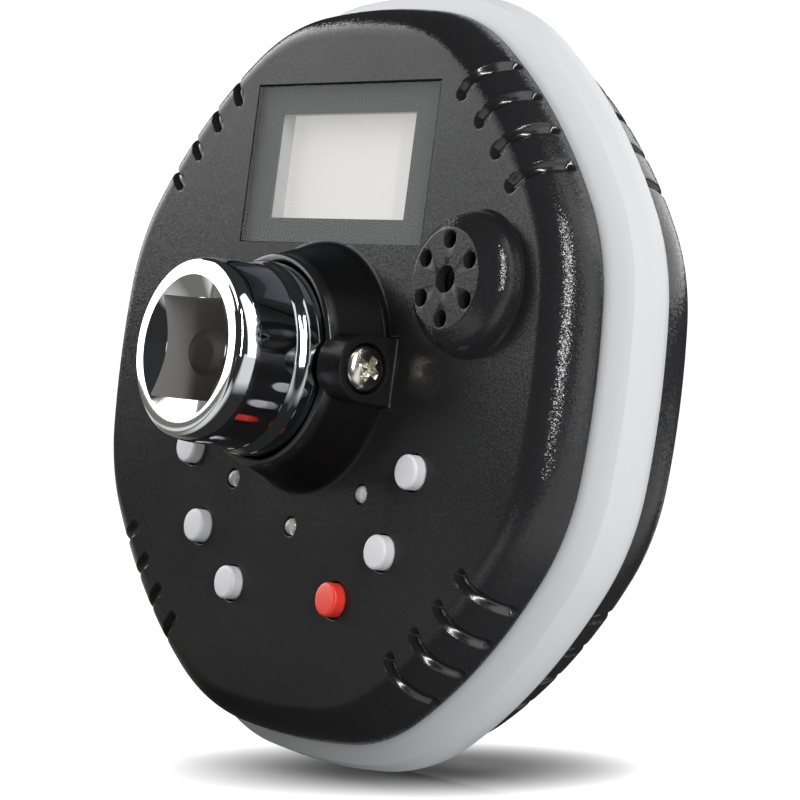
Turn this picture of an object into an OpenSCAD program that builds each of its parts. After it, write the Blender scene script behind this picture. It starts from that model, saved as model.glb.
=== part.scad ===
// Digital torque adapter for a 12.7 mm square drive.
// The drive axis is Y. The wrench enters the socket at y = 0 and the male square points to +Y.
// X is to the right of the display, Z is up, and the origin is the middle of the socket's mouth ring.

/* [Drive] */
// Across flats of the square drive
square_across = 12.7; // [9.5:0.1:14]
// Play of the socket round a square
square_play = 0.1; // [0.05:0.01:0.2]
// From the mouth ring to the housing's face
drive_reach = 19.8; // [16:0.1:26]
// Outer diameter of the flat mouth ring
mouth_d = 21.5; // [20:0.1:23]
// Diameter of the barrel
barrel_d = 23.5; // [23:0.1:26]
// Length of the rounded edge from mouth ring to barrel
mouth_round = 2.3; // [1:0.1:3]
// Diameter of the shoulder that the housing sits on
shoulder_d = 25; // [24:0.1:28]
// From the mouth ring to the start of the shoulder's cone
shoulder_start = 8.7; // [7:0.1:9.5]
// Length of the shoulder's cone
shoulder_cone = 1.5; // [0.5:0.1:2]
// Depth of the square socket
socket_deep = 15.6; // [13:0.1:17]
// Depth of the lead-in cone at the socket's mouth
lead_in = 1.6; // [0.5:0.1:2.5]
// From the mouth ring to the middle of the socket's detent recesses
socket_detent_y = 8.1; // [6:0.1:9.5]
// Diameter of the socket's detent recesses
socket_detent_d = 6.2; // [4:0.1:7]
// Diameter of the sensing section
sensing_d = 16.4; // [14:0.1:18]
// Across the sensing section's four gauge flats
sensing_flats = 14.4; // [12:0.1:15]
// Length of the sensing section
sensing_len = 15; // [12:0.1:17]
// Diameter of the rear journal
journal_d = 21; // [20:0.1:22]
// How far the rear journal stands out of the housing's back
journal_proud = 1.2; // [0.6:0.1:3]
// Length of the male square
anvil_len = 15.6; // [14:0.1:20]
// Diameter that rounds the male square's corners
anvil_corner_d = 17; // [16:0.1:17.5]
// Chamfer at the male square's end
anvil_chamfer = 1.4; // [0.5:0.1:2]

/* [Detent] */
// Diameter of the detent ball
ball_d = 4.8; // [4:0.1:5]
// How far the ball stands out of the male square
ball_proud = 1; // [0.6:0.1:1.3]
// From the male square's end to the ball
ball_from_end = 7.6; // [6:0.1:9]
// Play of the ball in its hole
ball_play = 0.08; // [0.04:0.01:0.1]
// Wire of the detent spring
spring_wire = 0.5; // [0.4:0.05:0.6]
// Turns of the detent spring
spring_turns = 4; // [3:1:5]

/* [Housing] */
// Across opposite flats of both shells
shell_across = 95.5; // [90:0.5:104]
// From the face to the back
shell_depth = 23.6; // [23:0.1:28]
// Wall of the shells
shell_wall = 2.2; // [1.8:0.1:2.6]
// Radius of the slightly arched flats at top, bottom and sides
flat_r = 100; // [80:1:140]
// Half of the turn that an arched flat makes, in degrees
flat_turn = 6; // [3:0.5:8]
// Radius of the eight round corners
corner_r = 27.5; // [24:0.5:30]
// Normal angle at which a corner meets a slanting flank, in degrees
corner_turn = 33.5; // [30:0.5:38]
// How far the rounded edge reaches over the face
edge_over = 4.5; // [3:0.1:6]
// How far the rounded edge runs back
edge_back = 6.8; // [5:0.1:7.5]
// How far the band's ridge stands out
band_proud = 3.05; // [2:0.05:4]
// Gap between the band and a shell
band_gap = 0.2; // [0.1:0.05:0.3]
// How deep the shells' laps lie under the band
lap_in = 2; // [1.6:0.1:2.4]

/* [Grips] */
// Grip grooves in each corner
groove_count = 4; // [2:1:5]
// Pitch of the grip grooves
groove_pitch = 5.9; // [5:0.1:6.5]
// Width of a groove
groove_w = 2.2; // [1.4:0.1:2.6]
// How far in from the rim a groove starts
groove_start = 6; // [5.5:0.1:8]

/* [Hub] */
// Outer diameter of the hub where it meets the face
hub_base_d = 31.6; // [31:0.1:36]
// Outer diameter of the hub's front rim
hub_rim_d = 27.4; // [27.2:0.1:29.5]
// How far the hub stands out of the face
hub_reach = 7.7; // [7:0.1:9]
// Fillet between hub and face
hub_fillet = 1; // [0.5:0.1:1.5]
// Play between the hub and the shoulder
hub_play = 0.25; // [0.1:0.05:0.4]
// Diameter of the screw lug
lug_d = 8.6; // [8.4:0.1:10]
// From the drive axis to the lug's end
lug_end = 17.6; // [16.5:0.1:20]
// From the housing's face forward to the lug's axis
lug_axis = 4.5; // [4.4:0.1:5]
// Diameter of the lug's screw seat
lug_seat_d = 6.4; // [6.1:0.1:7]
// Depth of the lug's screw seat
lug_seat = 1.4; // [0.8:0.1:1.6]

/* [Display] */
// Width of the display lens
lens_w = 38.6; // [34:0.1:42]
// Height of the display lens
lens_h = 20.8; // [18:0.1:22]
// Thickness of the display lens
lens_t = 1; // [0.8:0.1:1.2]
// Height of the lens's middle above the drive axis
lens_z = 26.6; // [26.2:0.1:27.2]
// Width of the clear window
window_w = 28.5; // [24:0.1:30]
// Height of the clear window
window_h = 13.8; // [11:0.1:14.2]
// Height of the window's middle above the drive axis
window_z = 26.3; // [26:0.1:26.9]
// Play round the lens
lens_play = 0.15; // [0.1:0.05:0.3]
// Depth of the window's box from the lens to the display panel
window_deep = 2; // [1.7:0.1:2.4]

/* [Buttons] */
// Diameter of a button
button_d = 4.35; // [3.8:0.05:5]
// How far a button stands out of the face
button_proud = 1.5; // [1:0.1:2]
// Travel of a button
button_travel = 0.5; // [0.3:0.1:0.6]
// Play round a button
button_play = 0.25; // [0.15:0.05:0.35]
// Half the distance between the two upper buttons
upper_x = 23.8; // [22:0.1:26]
// Height of the two upper buttons
upper_z = -12; // [-13:0.1:-11.5]
// Half the distance between the two middle buttons
middle_x = 19.7; // [18:0.1:21]
// Height of the two middle buttons
middle_z = -22.3; // [-23:0.1:-21.5]
// Half the distance between the two lower buttons
lower_x = 11.1; // [9:0.1:12]
// Height of the two lower buttons
lower_z = -29.1; // [-30:0.1:-28.5]

/* [Lights] */
// Diameter of an indicator light
light_d = 2.3; // [1.8:0.1:2.6]
// Distance of the indicator lights from the drive axis
light_r = 20.7; // [20.4:0.1:21.5]
// Angle between neighbouring indicator lights, in degrees
light_turn = 41.7; // [38:0.1:45]
// How far a light stands out of the face
light_proud = 0.5; // [0.2:0.1:1]

/* [Buzzer] */
// Middle of the buzzer dome to the right of the drive axis
dome_x = 30.8; // [30.2:0.1:31.4]
// Middle of the buzzer dome above the drive axis
dome_z = 11.6; // [10.5:0.1:12]
// Base diameter of the dome
dome_base_d = 19; // [18:0.1:20]
// Diameter of the dome's flat top
dome_top_d = 12.8; // [12.6:0.1:14]
// Height of the dome
dome_reach = 4.6; // [4:0.1:5.5]
// Diameter of the ring of sound holes
sound_ring_d = 9.7; // [9:0.1:10]
// Diameter of an outer sound hole
sound_hole_d = 2.1; // [1.6:0.1:2.3]
// Diameter of the middle sound hole
sound_middle_d = 3.3; // [2.4:0.1:3.6]
// Diameter of the buzzer
buzzer_d = 12; // [11:0.1:12.4]

/* [Batteries] */
// Diameter of a battery cell
cell_d = 10.5; // [10.2:0.1:10.5]
// Length of a battery cell with its knob
cell_len = 44.5; // [43.5:0.1:44.5]
// Play between the cells and round them
cell_play = 0.4; // [0.2:0.1:0.5]
// Height of the tray's upper wall, inside
tray_top = -14; // [-14.4:0.1:-13.6]
// Thickness of the battery cover
cover_t = 1.6; // [1.2:0.1:2]
// Play round the battery cover
cover_play = 0.2; // [0.1:0.05:0.3]

/* [Boards and screws] */
// From the face to the main board's front side
board_deep = 7; // [6.8:0.1:7.4]
// Thickness of the main board
board_t = 1.6; // [1.2:0.1:1.8]
// Height of the case screws above and below the drive axis
post_z = 28; // [27.8:0.1:28.3]
// From the battery tray's wall to the case screws
post_room = 3.3; // [3.1:0.1:3.5]
// Shank diameter of the case screws
case_screw_d = 2.5; // [2:0.1:2.8]
// Head diameter of the case screws
case_head_d = 4.8; // [4.2:0.1:5]
// Shank diameter of the lug's screw
lug_screw_d = 3; // [2.5:0.1:3.4]
// Head diameter of the lug's screw
lug_head_d = 5.9; // [5.2:0.1:6]

/* [Hidden] */
$fn = 48;
over = 0.5;
rim_steps = 96;
black = [0.07, 0.07, 0.075];
band_grey = [0.80, 0.81, 0.82];
chrome = [0.82, 0.83, 0.85];
button_white = [0.86, 0.86, 0.89];
power_red = [0.90, 0.27, 0.22];
board_green = [0.10, 0.35, 0.20];

// Places along the drive axis
face_y = drive_reach;
back_y = face_y + shell_depth;
band_front_y = face_y + edge_back;
band_back_y = back_y - edge_back;
band_y = (face_y + back_y) / 2;
lap_gap = 0.3;
rim_y = face_y - hub_reach;
lug_y = face_y - lug_axis;
board_y = face_y + board_deep;
board_back_y = board_y + board_t;
sensing_set = 3.6;
sensing_y = face_y + sensing_set;
sensing_end_y = sensing_y + sensing_len;
journal_y = back_y + journal_proud;
anvil_end_y = journal_y + anvil_len;
ball_y = anvil_end_y - ball_from_end;

// The shells' outline: arched flats, round corners and slanting flanks, alike in every eighth
shell_r = shell_across / 2;
flat_c = [0, shell_r - flat_r];
corner_c = flat_c + (flat_r - corner_r) * heading(flat_turn);
flank_span = cos(corner_turn) - sin(corner_turn);
flank_r = corner_r + (corner_c[1] - corner_c[0]) / flank_span;
flank_c = corner_c + (corner_r - flank_r) * heading(corner_turn);

// Direction at an angle from the top, clockwise as seen from the front
function heading(a) = [sin(a), cos(a)];

// Point of the first eighth of the outline, moved in from the rim
function eighth_point(a, inset) =
    a <= flat_turn ? flat_c + (flat_r - inset) * heading(a)
    : a <= corner_turn ? corner_c + (corner_r - inset) * heading(a)
    : flank_c + (flank_r - inset) * heading(a);

// Point of the whole outline at a normal angle
function rim_point(a, inset) =
    let (quarter = floor(a / 90), b = a - 90 * quarter)
    let (p = b <= 45 ? eighth_point(b, inset) : flipped(eighth_point(90 - b, inset)))
    turned_point(p, 90 * quarter);
function flipped(p) = [p[1], p[0]];
function turned_point(p, a) = [p[0] * cos(a) + p[1] * sin(a), p[1] * cos(a) - p[0] * sin(a)];
function rim_points(inset) = [for (i = [0:rim_steps - 1]) rim_point(i * 360 / rim_steps, inset)];

// Closed body of outline rings, one for each row of [y, inset], capped at the first and last ring
module rim_stack(rows) {
    n = rim_steps;
    points = [for (row = rows) for (p = rim_points(row[1])) [p[0], row[0], p[1]]];
    sides = [for (k = [0:len(rows) - 2]) for (i = [0:n - 1])
        let (j = (i + 1) % n, a = k * n, b = a + n) each [[a + i, b + i, b + j], [a + i, b + j, a + j]]];
    first = [for (i = [0:n - 1]) i];
    last = [for (i = [n - 1:-1:0]) (len(rows) - 1) * n + i];
    polyhedron(points, concat([first], sides, [last]));
}

// Closed ring of outline rings, whose last row joins the first
module rim_ring(rows) {
    n = rim_steps;
    m = len(rows);
    points = [for (row = rows) for (p = rim_points(row[1])) [p[0], row[0], p[1]]];
    sides = [for (k = [0:m - 1]) for (i = [0:n - 1])
        let (j = (i + 1) % n, a = k * n, b = ((k + 1) % m) * n)
        each [[a + i, b + i, b + j], [a + i, b + j, a + j]]];
    polyhedron(points, sides);
}

// Flat plate of a profile drawn in X and Z, from y0 back to y1
module plate(y0, y1) {
    translate([0, y1, 0]) rotate([90, 0, 0]) linear_extrude(y1 - y0) children();
}

// Round rod along Y, from y0 to y1
module rod(y0, y1, d, x = 0, z = 0, d_end = -1) {
    translate([x, y0, z]) rotate([-90, 0, 0])
        cylinder(h = y1 - y0, d1 = d, d2 = d_end < 0 ? d : d_end);
}

// Round rod along X, from x0 to x1
module cross_rod(x0, x1, d, y, z = 0) {
    translate([x0, y, z]) rotate([0, 90, 0]) cylinder(h = x1 - x0, d = d);
}

// Body turned about Y from a profile of [radius, y]
module turned(points) {
    rotate([-90, 0, 0]) rotate_extrude() polygon(points);
}

// Block between two corners
module block(low, high) {
    translate(low) cube(high - low);
}

// Rectangle about a middle
module rect_at(w, h, z) {
    translate([0, z]) square([w, h], center = true);
}

// Rounded rectangle's corner points, with the corners cut by a chamfer
function cut_corners(x0, x1, z0, z1, c) = [[x0 + c, z0], [x1 - c, z0], [x1, z0 + c], [x1, z1 - c],
    [x1 - c, z1], [x0 + c, z1], [x0, z1 - c], [x0, z0 + c]];

// Cross slot of a screw head, cut down from y towards -Y
module cross_slot(y, span, slot, deep) {
    for (a = [45, 135])
        translate([0, y, 0]) rotate([0, a, 0])
            block([-span / 2, -deep, -slot / 2], [span / 2, over, slot / 2]);
}

// Pan head screw along Y, whose head sits on y and points to +Y
module pan_screw(y, shank_d, shank_len, head_d, head_t) {
    round_y = head_t * 0.45;
    difference() {
        turned([[0, y - shank_len], [shank_d / 2 - shank_d / 6, y - shank_len],
                [shank_d / 2, y - shank_len + shank_d / 3], [shank_d / 2, y], [head_d / 2, y],
                [head_d / 2, y + round_y], [head_d * 0.42, y + head_t * 0.8],
                [head_d * 0.26, y + head_t], [0, y + head_t]]);
        cross_slot(y + head_t, head_d * 0.58, head_d * 0.13, head_t * 0.6);
    }
}

// Shells

edge_steps = 6;
lap_wall = 1.8;
inner_in = lap_in + lap_wall;
inner_round = 2.4;
lap_len = (shell_depth - lap_gap) / 2 - edge_back;
seam_y = (face_y + back_y) / 2;

// Rows of the rounded edge: a quarter ellipse from the face back to the rim
edge_rows = [for (k = [0:edge_steps])
    let (a = 90 * k / edge_steps) [edge_back * (1 - cos(a)), edge_over * (1 - sin(a))]];

// Hollow half of the housing, with its face at y = 0 and its lap towards +Y
module shell_cup() {
    lap_end = edge_back + lap_len;
    rim_stack(concat(edge_rows, [[edge_back, lap_in], [lap_end, lap_in], [lap_end, inner_in],
        [shell_wall + inner_round, inner_in], [shell_wall, inner_in + inner_round]]));
}

// Grip grooves: a six-sided tube swept along the rounded edge, square to the rim
groove_sides = 6;
groove_r = groove_w / 2;
groove_turn = groove_pitch / flank_r * 180 / PI;
groove_path = concat([[groove_start + groove_r / 2, 0.35], [groove_start, 0.8], [edge_over * 0.95, 1]],
    [for (k = [1:edge_steps]) [-k / edge_steps, 1]]);
groove_run = edge_back + lap_len / 2;

// Middle of a groove's ring: [inset, y]
function groove_middle(step) = step[0] >= 0 ? [step[0], 0]
    : let (a = -90 * step[0]) [edge_over * (1 - sin(a)), edge_back * (1 - cos(a))];

// Outward direction of a groove's ring: [inset, y]
function groove_out(step) = step[0] >= 0 ? [0, -1] : let (a = -90 * step[0]) [-sin(a), -cos(a)];

module groove(a) {
    rings = concat(groove_path, [[-1, 1]]);
    last = len(rings) - 1;
    points = [for (k = [0:last]) let (step = rings[k], m = groove_middle(step), out = groove_out(step))
        for (i = [0:groove_sides - 1])
        let (t = 360 * i / groove_sides, r = groove_r * step[1], aside = r * sin(t))
        let (inset = m[0] + out[0] * r * cos(t), y = k == last ? groove_run : m[1] + out[1] * r * cos(t))
        let (p = rim_point(a, inset))
        [p[0] + aside * cos(a), y, p[1] - aside * sin(a)]];
    sides = [for (k = [0:last - 1]) for (i = [0:groove_sides - 1])
        let (j = (i + 1) % groove_sides, u = k * groove_sides, v = u + groove_sides)
        each [[u + i, v + i, v + j], [u + i, v + j, u + j]]];
    first = [for (i = [0:groove_sides - 1]) i];
    end = [for (i = [groove_sides - 1:-1:0]) last * groove_sides + i];
    polyhedron(points, concat([first], sides, [end]));
}

// All grip grooves of a shell whose face is at y = 0
module grooves() {
    for (quarter = [0:3])
        for (k = [0:groove_count - 1])
            groove(45 + 90 * quarter + (k - (groove_count - 1) / 2) * groove_turn);
}

// The four places of the case screws
module at_posts(out = 0) {
    for (x = [-1, 1], z = [-1, 1])
        translate([x * (post_x + out), 0, z * (post_z + out)]) children();
}

// The three places of the board screws
board_post_x = 34;
board_post_z = -6;
board_low_z = -40;
module at_board_posts() {
    for (p = [[-board_post_x, board_post_z], [board_post_x, board_post_z], [0, board_low_z]])
        translate([p[0], 0, p[1]]) children();
}

post_d = 5.6;
pilot_play = 0.05;
pilot_set = 0.6;
pilot_end_y = board_y - pilot_set;
board_post_d = 5;
board_screw_d = 2;
board_screw_len = 4;
hub_bore_d = shoulder_d + 2 * hub_play;
hub_lip = 0.5;
dome_wall = 1.4;
buzzer_play = 0.4;
lug_screw_play = 0.2;
light_play = 0.15;

// Profile of the hub: rounded front rim, slight taper and a fillet at the face
hub_points = concat(
    [[0, rim_y], [hub_rim_d / 2 - hub_lip, rim_y], [hub_rim_d / 2 - hub_lip * 0.3, rim_y + hub_lip * 0.3],
     [hub_rim_d / 2, rim_y + hub_lip]],
    [for (k = [0:4]) let (a = 22.5 * k)
        [hub_base_d / 2 + hub_fillet * (1 - cos(a)), face_y - hub_fillet * (1 - sin(a))]],
    [[hub_base_d / 2 + hub_fillet, face_y + over], [0, face_y + over]]);

// Profile of the buzzer dome: flat top and a round shoulder down to the face
dome_points = concat([[0, face_y - dome_reach]],
    [for (k = [0:6]) let (a = 15 * k)
        [dome_top_d / 2 + (dome_base_d - dome_top_d) / 2 * sin(a), face_y - dome_reach * cos(a)]],
    [[dome_base_d / 2, face_y + over], [0, face_y + over]]);

// The screw lug at the hub's right: round in front, straight back to the face
module lug() {
    lug_r = lug_d / 2;
    rotate([90, 0, 90]) linear_extrude(lug_end)
        polygon(concat([for (a = [90:15:270]) [lug_y + lug_r * cos(a), lug_r * sin(a)]],
            [[face_y + over, -lug_r], [face_y + over, lug_r]]));
}

// Seat of the display lens and what lies behind it
lens_sink = 0.1;
mask_t = 0.25;
seat_y = face_y + lens_sink + lens_t + mask_t;
box_play = 0.2;
box_wall = 1.6;
box_w = window_w + 2 * box_play;
box_h = window_h + 2 * box_play;
panel_y = seat_y + window_deep;
panel_t = 1.1;

module front_shell() {
    color(black) difference() {
        union() {
            translate([0, face_y, 0]) shell_cup();
            turned(hub_points);
            lug();
            translate([dome_x, 0, dome_z]) turned(dome_points);
            at_posts() rod(face_y + shell_wall - over, seam_y - lap_gap / 2, post_d);
            at_board_posts() rod(face_y + shell_wall - over, board_y, board_post_d);
        }
        translate([0, face_y, 0]) grooves();
        rod(rim_y - lug_d, face_y + shell_wall + over, hub_bore_d);
        cross_rod(0, lug_end, lug_screw_d + 2 * lug_screw_play, lug_y);
        cross_rod(lug_end - lug_seat, lug_end + over, lug_seat_d, lug_y);
        plate(face_y - over, seat_y) rect_at(lens_w + 2 * lens_play, lens_h + 2 * lens_play, lens_z);
        plate(seat_y - over, face_y + shell_wall + over)
            rect_at(box_w + 2 * box_wall + 2 * box_play, box_h + 2 * box_wall + 2 * box_play, window_z);
        for (place = button_places)
            rod(face_y - over, face_y + shell_wall + over, button_d + 2 * button_play, place[0], place[1]);
        for (k = [-1:1])
            rod(face_y - over, face_y + shell_wall + over, light_d + 2 * light_play,
                light_r * sin(k * light_turn), -light_r * cos(k * light_turn));
        rod(face_y - dome_reach + dome_wall, face_y + shell_wall + over, buzzer_d + 2 * buzzer_play,
            dome_x, dome_z);
        rod(face_y - dome_reach - over, face_y, sound_middle_d, dome_x, dome_z);
        for (a = [0:60:300])
            rod(face_y - dome_reach - over, face_y, sound_hole_d,
                dome_x + sound_ring_d / 2 * sin(a), dome_z + sound_ring_d / 2 * cos(a));
        at_posts() rod(pilot_end_y, seam_y, case_screw_d + 2 * pilot_play);
        at_board_posts() rod(board_y - board_screw_len - over, board_y + over, board_screw_d + 2 * pilot_play);
    }
}

// Battery tray behind the board, open to the back
end_room = 1.05;
tray_wall = 1.4;
tray_half_w = cell_len / 2 + end_room;
post_x = tray_half_w + tray_wall + post_room;
cell_y = back_y - cover_t - cell_play - cell_d / 2;
tray_floor_y = cell_y - cell_d / 2 - cell_play;
upper_cell_z = tray_top - cell_play - cell_d / 2;
lower_cell_z = upper_cell_z - cell_d - cell_play;
tray_bottom = lower_cell_z - cell_d / 2 - cell_play;
cover_lap = 1;
cover_cut = 2;
sleeve_wall = 1.6;
sleeve_len = 1;
journal_play = 0.3;
rear_post_d = 7;
head_sink = 3.2;

// Outline of the battery cover, grown by a play
module cover_outline(grow) {
    polygon(cut_corners(-tray_half_w - cover_lap - grow, tray_half_w + cover_lap + grow,
        tray_bottom - cover_lap - grow, tray_top + cover_lap + grow, cover_cut));
}

module rear_shell() {
    color(black) difference() {
        union() {
            translate([0, back_y, 0]) mirror([0, 1, 0]) shell_cup();
            rod(back_y - shell_wall - sleeve_len, back_y - over, journal_d + 2 * journal_play + 2 * sleeve_wall);
            block([-tray_half_w - tray_wall, tray_floor_y - tray_wall, tray_bottom - tray_wall],
                  [tray_half_w + tray_wall, back_y - over, tray_top + tray_wall]);
            at_posts() rod(seam_y + lap_gap / 2, back_y - over, rear_post_d);
        }
        translate([0, back_y, 0]) mirror([0, 1, 0]) grooves();
        rod(back_y - shell_wall - sleeve_len - over, back_y + over, journal_d + 2 * journal_play);
        block([-tray_half_w, tray_floor_y, tray_bottom], [tray_half_w, back_y + over, tray_top]);
        plate(back_y - cover_t, back_y + over) cover_outline(cover_play);
        at_posts() rod(seam_y, back_y, case_screw_d + 4 * pilot_play);
        at_posts() rod(back_y - head_sink, back_y + over, case_head_d + 2 * journal_play);
    }
}

// Soft band between the shells: a bevel in front, a ridge and a rounder back
band_shares = [[0, 0], [0.17, 0.56], [0.36, 0.86], [0.6, 1], [0.8, 0.87], [0.93, 0.58], [1, 0.28]];
module bumper_band() {
    y0 = band_front_y + band_gap;
    y1 = band_back_y - band_gap;
    inner = lap_in - band_gap;
    color(band_grey) rim_ring(concat(
        [for (s = band_shares) [y0 + (y1 - y0) * s[0], -band_proud * s[1]]],
        [[y1, inner], [y0, inner]]));
}

// Drive

ring_t = 1;
ring_play = 0.1;
ring_deep = 0.9;
ring_y = back_y - shell_wall - sleeve_len - ring_play - ring_t;
ring_lip = 0.8;
ring_d = journal_d + 2 * journal_play + 2 * ring_lip;
seal_wire = 1.4;
seal_play = 0.05;
seal_set = 1.2;
seal_y = face_y - seal_set;
seal_mid_r = hub_bore_d / 2 - seal_play - seal_wire / 2;
recess_deep = 1.6;
sensing_ease = 0.9;
lug_hole_deep = 1.6;
lug_hole_x = shoulder_d / 2 - lug_hole_deep;
spring_len = 4;
ball_z = square_across / 2 + ball_proud - ball_d / 2;
spring_play = 0.05;
ball_hole_z = ball_z - ball_d / 2 - spring_len - 2 * spring_play;

// Profile of the turned steel: mouth ring, barrel, shoulder, sensing section and rear journal
shaft_points = concat([[0, 0]],
    [for (k = [0:5]) let (a = 18 * k)
        [mouth_d / 2 + (barrel_d - mouth_d) / 2 * sin(a), mouth_round * (1 - cos(a))]],
    [[barrel_d / 2, shoulder_start], [shoulder_d / 2, shoulder_start + shoulder_cone],
     [shoulder_d / 2, sensing_y - sensing_ease], [sensing_d / 2, sensing_y],
     [sensing_d / 2, sensing_end_y], [journal_d / 2, sensing_end_y], [journal_d / 2, journal_y],
     [0, journal_y]]);

// Square end with rounded corners and a chamfer
module anvil() {
    intersection() {
        plate(journal_y - over, anvil_end_y) square(square_across, center = true);
        turned([[0, journal_y - over], [anvil_corner_d / 2, journal_y - over],
                [anvil_corner_d / 2, anvil_end_y - anvil_chamfer],
                [anvil_corner_d / 2 - anvil_chamfer, anvil_end_y], [0, anvil_end_y]]);
    }
}

// Square socket with its lead-in cone and detent recesses
module socket() {
    side = square_across + 2 * square_play;
    slope = (side * sqrt(2) / 2 - side / 2) / lead_in;
    plate(-over, socket_deep) square(side, center = true);
    rod(-over, lead_in, side * sqrt(2) + 2 * slope * over, 0, 0, side);
    for (a = [0, 90])
        rotate([0, a, 0]) cross_rod(-side / 2 - recess_deep, side / 2 + recess_deep, socket_detent_d,
            socket_detent_y);
}

module ring_cut(y0, y1, inner_r, outer_r) {
    turned([[inner_r, y0], [outer_r, y0], [outer_r, y1], [inner_r, y1]]);
}

module drive_shaft() {
    color(chrome) difference() {
        union() {
            turned(shaft_points);
            anvil();
        }
        socket();
        for (a = [0:90:270])
            rotate([0, a, 0]) block([sensing_flats / 2, sensing_y + sensing_ease, -sensing_d],
                [sensing_d, sensing_end_y - sensing_ease, sensing_d]);
        cross_rod(lug_hole_x, shoulder_d, lug_screw_d + 2 * lug_screw_play, lug_y);
        ring_cut(seal_y - seal_wire * 0.55, seal_y + seal_wire * 0.55, seal_mid_r - seal_wire / 2 - seal_play,
            shoulder_d);
        ring_cut(ring_y - ring_play, ring_y + ring_t + ring_play, journal_d / 2 - ring_deep, journal_d);
        translate([0, ball_y, ball_hole_z]) cylinder(h = square_across, d = ball_d + 2 * ball_play);
    }
}

module detent_ball() {
    color(chrome) translate([0, ball_y, ball_z]) sphere(d = ball_d);
}

// Coil spring under the ball: one tube along a helix with a flat turn at each end
module detent_spring() {
    sides = 6;
    per_turn = 10;
    steps = spring_turns * per_turn;
    mid_r = ball_d * 0.37;
    rise = spring_len - spring_wire;
    low = ball_hole_z + spring_play + spring_wire / 2;
    points = [for (k = [0:steps]) let (a = 360 * k / per_turn, z = low + rise * k / steps)
        for (i = [0:sides - 1]) let (t = 360 * i / sides, r = mid_r + spring_wire / 2 * cos(t))
        [r * cos(a), ball_y + r * sin(a), z + spring_wire / 2 * sin(t)]];
    walls = [for (k = [0:steps - 1]) for (i = [0:sides - 1])
        let (j = (i + 1) % sides, u = k * sides, v = u + sides)
        each [[u + i, u + j, v + j], [u + i, v + j, v + i]]];
    first = [for (i = [sides - 1:-1:0]) i];
    last = [for (i = [0:sides - 1]) steps * sides + i];
    color(chrome) polyhedron(points, concat([first], walls, [last]));
}

gauge_t = 0.4;
gauge_w = 4.6;
gauge_len = 8;
gauge_y = (sensing_y + sensing_end_y) / 2 - gauge_len / 2;
module strain_gauges() {
    color("goldenrod") for (a = [0:90:270])
        rotate([0, a, 0]) block([sensing_flats / 2, gauge_y, -gauge_w / 2],
            [sensing_flats / 2 + gauge_t, gauge_y + gauge_len, gauge_w / 2]);
}

// Open spring ring in the rear journal's groove
module retaining_ring() {
    gap = ring_d / 4;
    color([0.3, 0.3, 0.32]) difference() {
        ring_cut(ring_y, ring_y + ring_t, journal_d / 2 - ring_deep + ring_play, ring_d / 2);
        block([-gap / 2, ring_y - over, 0], [gap / 2, ring_y + ring_t + over, ring_d]);
    }
}

module hub_seal() {
    color([0.12, 0.12, 0.12]) translate([0, seal_y, 0]) rotate([-90, 0, 0]) rotate_extrude()
        translate([seal_mid_r, 0]) circle(d = seal_wire);
}

lug_head_t = 2;
lug_tip_play = 0.3;
module lug_screw() {
    head_x = lug_end - lug_seat;
    color(chrome) translate([0, lug_y, 0]) rotate([0, 0, -90])
        pan_screw(head_x, lug_screw_d, head_x - lug_hole_x - lug_tip_play, lug_head_d, lug_head_t);
}

// Display

module display_lens() {
    color([0.75, 0.78, 0.78, 0.4]) plate(face_y + lens_sink, face_y + lens_sink + lens_t)
        rect_at(lens_w, lens_h, lens_z);
}

module display_mask() {
    color([0.33, 0.33, 0.32]) plate(seat_y - mask_t, seat_y) difference() {
        rect_at(lens_w, lens_h, lens_z);
        rect_at(window_w, window_h, window_z);
    }
}

holder_w = 40;
holder_h = 23;
holder_wall = 1.4;
holder_play = 0.05;
panel_play = 0.1;
flange_y = face_y + shell_wall + box_play;
panel_w = holder_w - 2 * holder_wall - 2 * panel_play;
panel_h = holder_h - 2 * holder_wall - 2 * panel_play;

// Pale frame that carries the panel and lines the window
module display_holder() {
    color([0.72, 0.72, 0.71]) difference() {
        union() {
            plate(seat_y + holder_play, panel_y) rect_at(box_w + 2 * box_wall, box_h + 2 * box_wall, window_z);
            plate(flange_y, board_y) rect_at(holder_w, holder_h, window_z);
        }
        plate(seat_y - over, panel_y + over) rect_at(box_w, box_h, window_z);
        plate(panel_y, board_y + over)
            rect_at(holder_w - 2 * holder_wall, holder_h - 2 * holder_wall, window_z);
    }
}

module display_panel() {
    color([0.86, 0.85, 0.83]) plate(panel_y, panel_y + panel_t) rect_at(panel_w, panel_h, window_z);
}

backlight_t = 1.8;
strip_h = 2;
strip_z = panel_h / 2 - strip_h;
module backlight() {
    color([0.93, 0.93, 0.9]) plate(panel_y + panel_t, panel_y + panel_t + backlight_t)
        rect_at(window_w, 2 * strip_z - 2 * strip_h, window_z);
}

// Two rubber strips that join the panel to the board
module contact_strips() {
    color([0.45, 0.45, 0.5]) plate(panel_y + panel_t, board_y) {
        rect_at(window_w, strip_h, window_z + strip_z);
        rect_at(window_w, strip_h, window_z - strip_z);
    }
}

// Board

board_in = 5.6;
board_hole_d = 30;
post_play = 0.4;
module main_board() {
    color(board_green) difference() {
        plate(board_y, board_back_y) polygon(rim_points(board_in));
        rod(board_y - over, board_back_y + over, board_hole_d);
        at_posts() rod(board_y - over, board_back_y + over, post_d + 2 * post_play);
        at_posts(post_d / 3) rod(board_y - over, board_back_y + over, post_d + 2 * post_play);
        at_board_posts() rod(board_y - over, board_back_y + over, board_screw_d + 4 * pilot_play);
    }
}

chip_w = 9;
chip_t = 1.2;
chip_x = -24;
chip_z = 16;
module controller_chip() {
    color([0.15, 0.15, 0.16]) plate(board_back_y, board_back_y + chip_t)
        translate([chip_x, chip_z]) square(chip_w, center = true);
}

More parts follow.
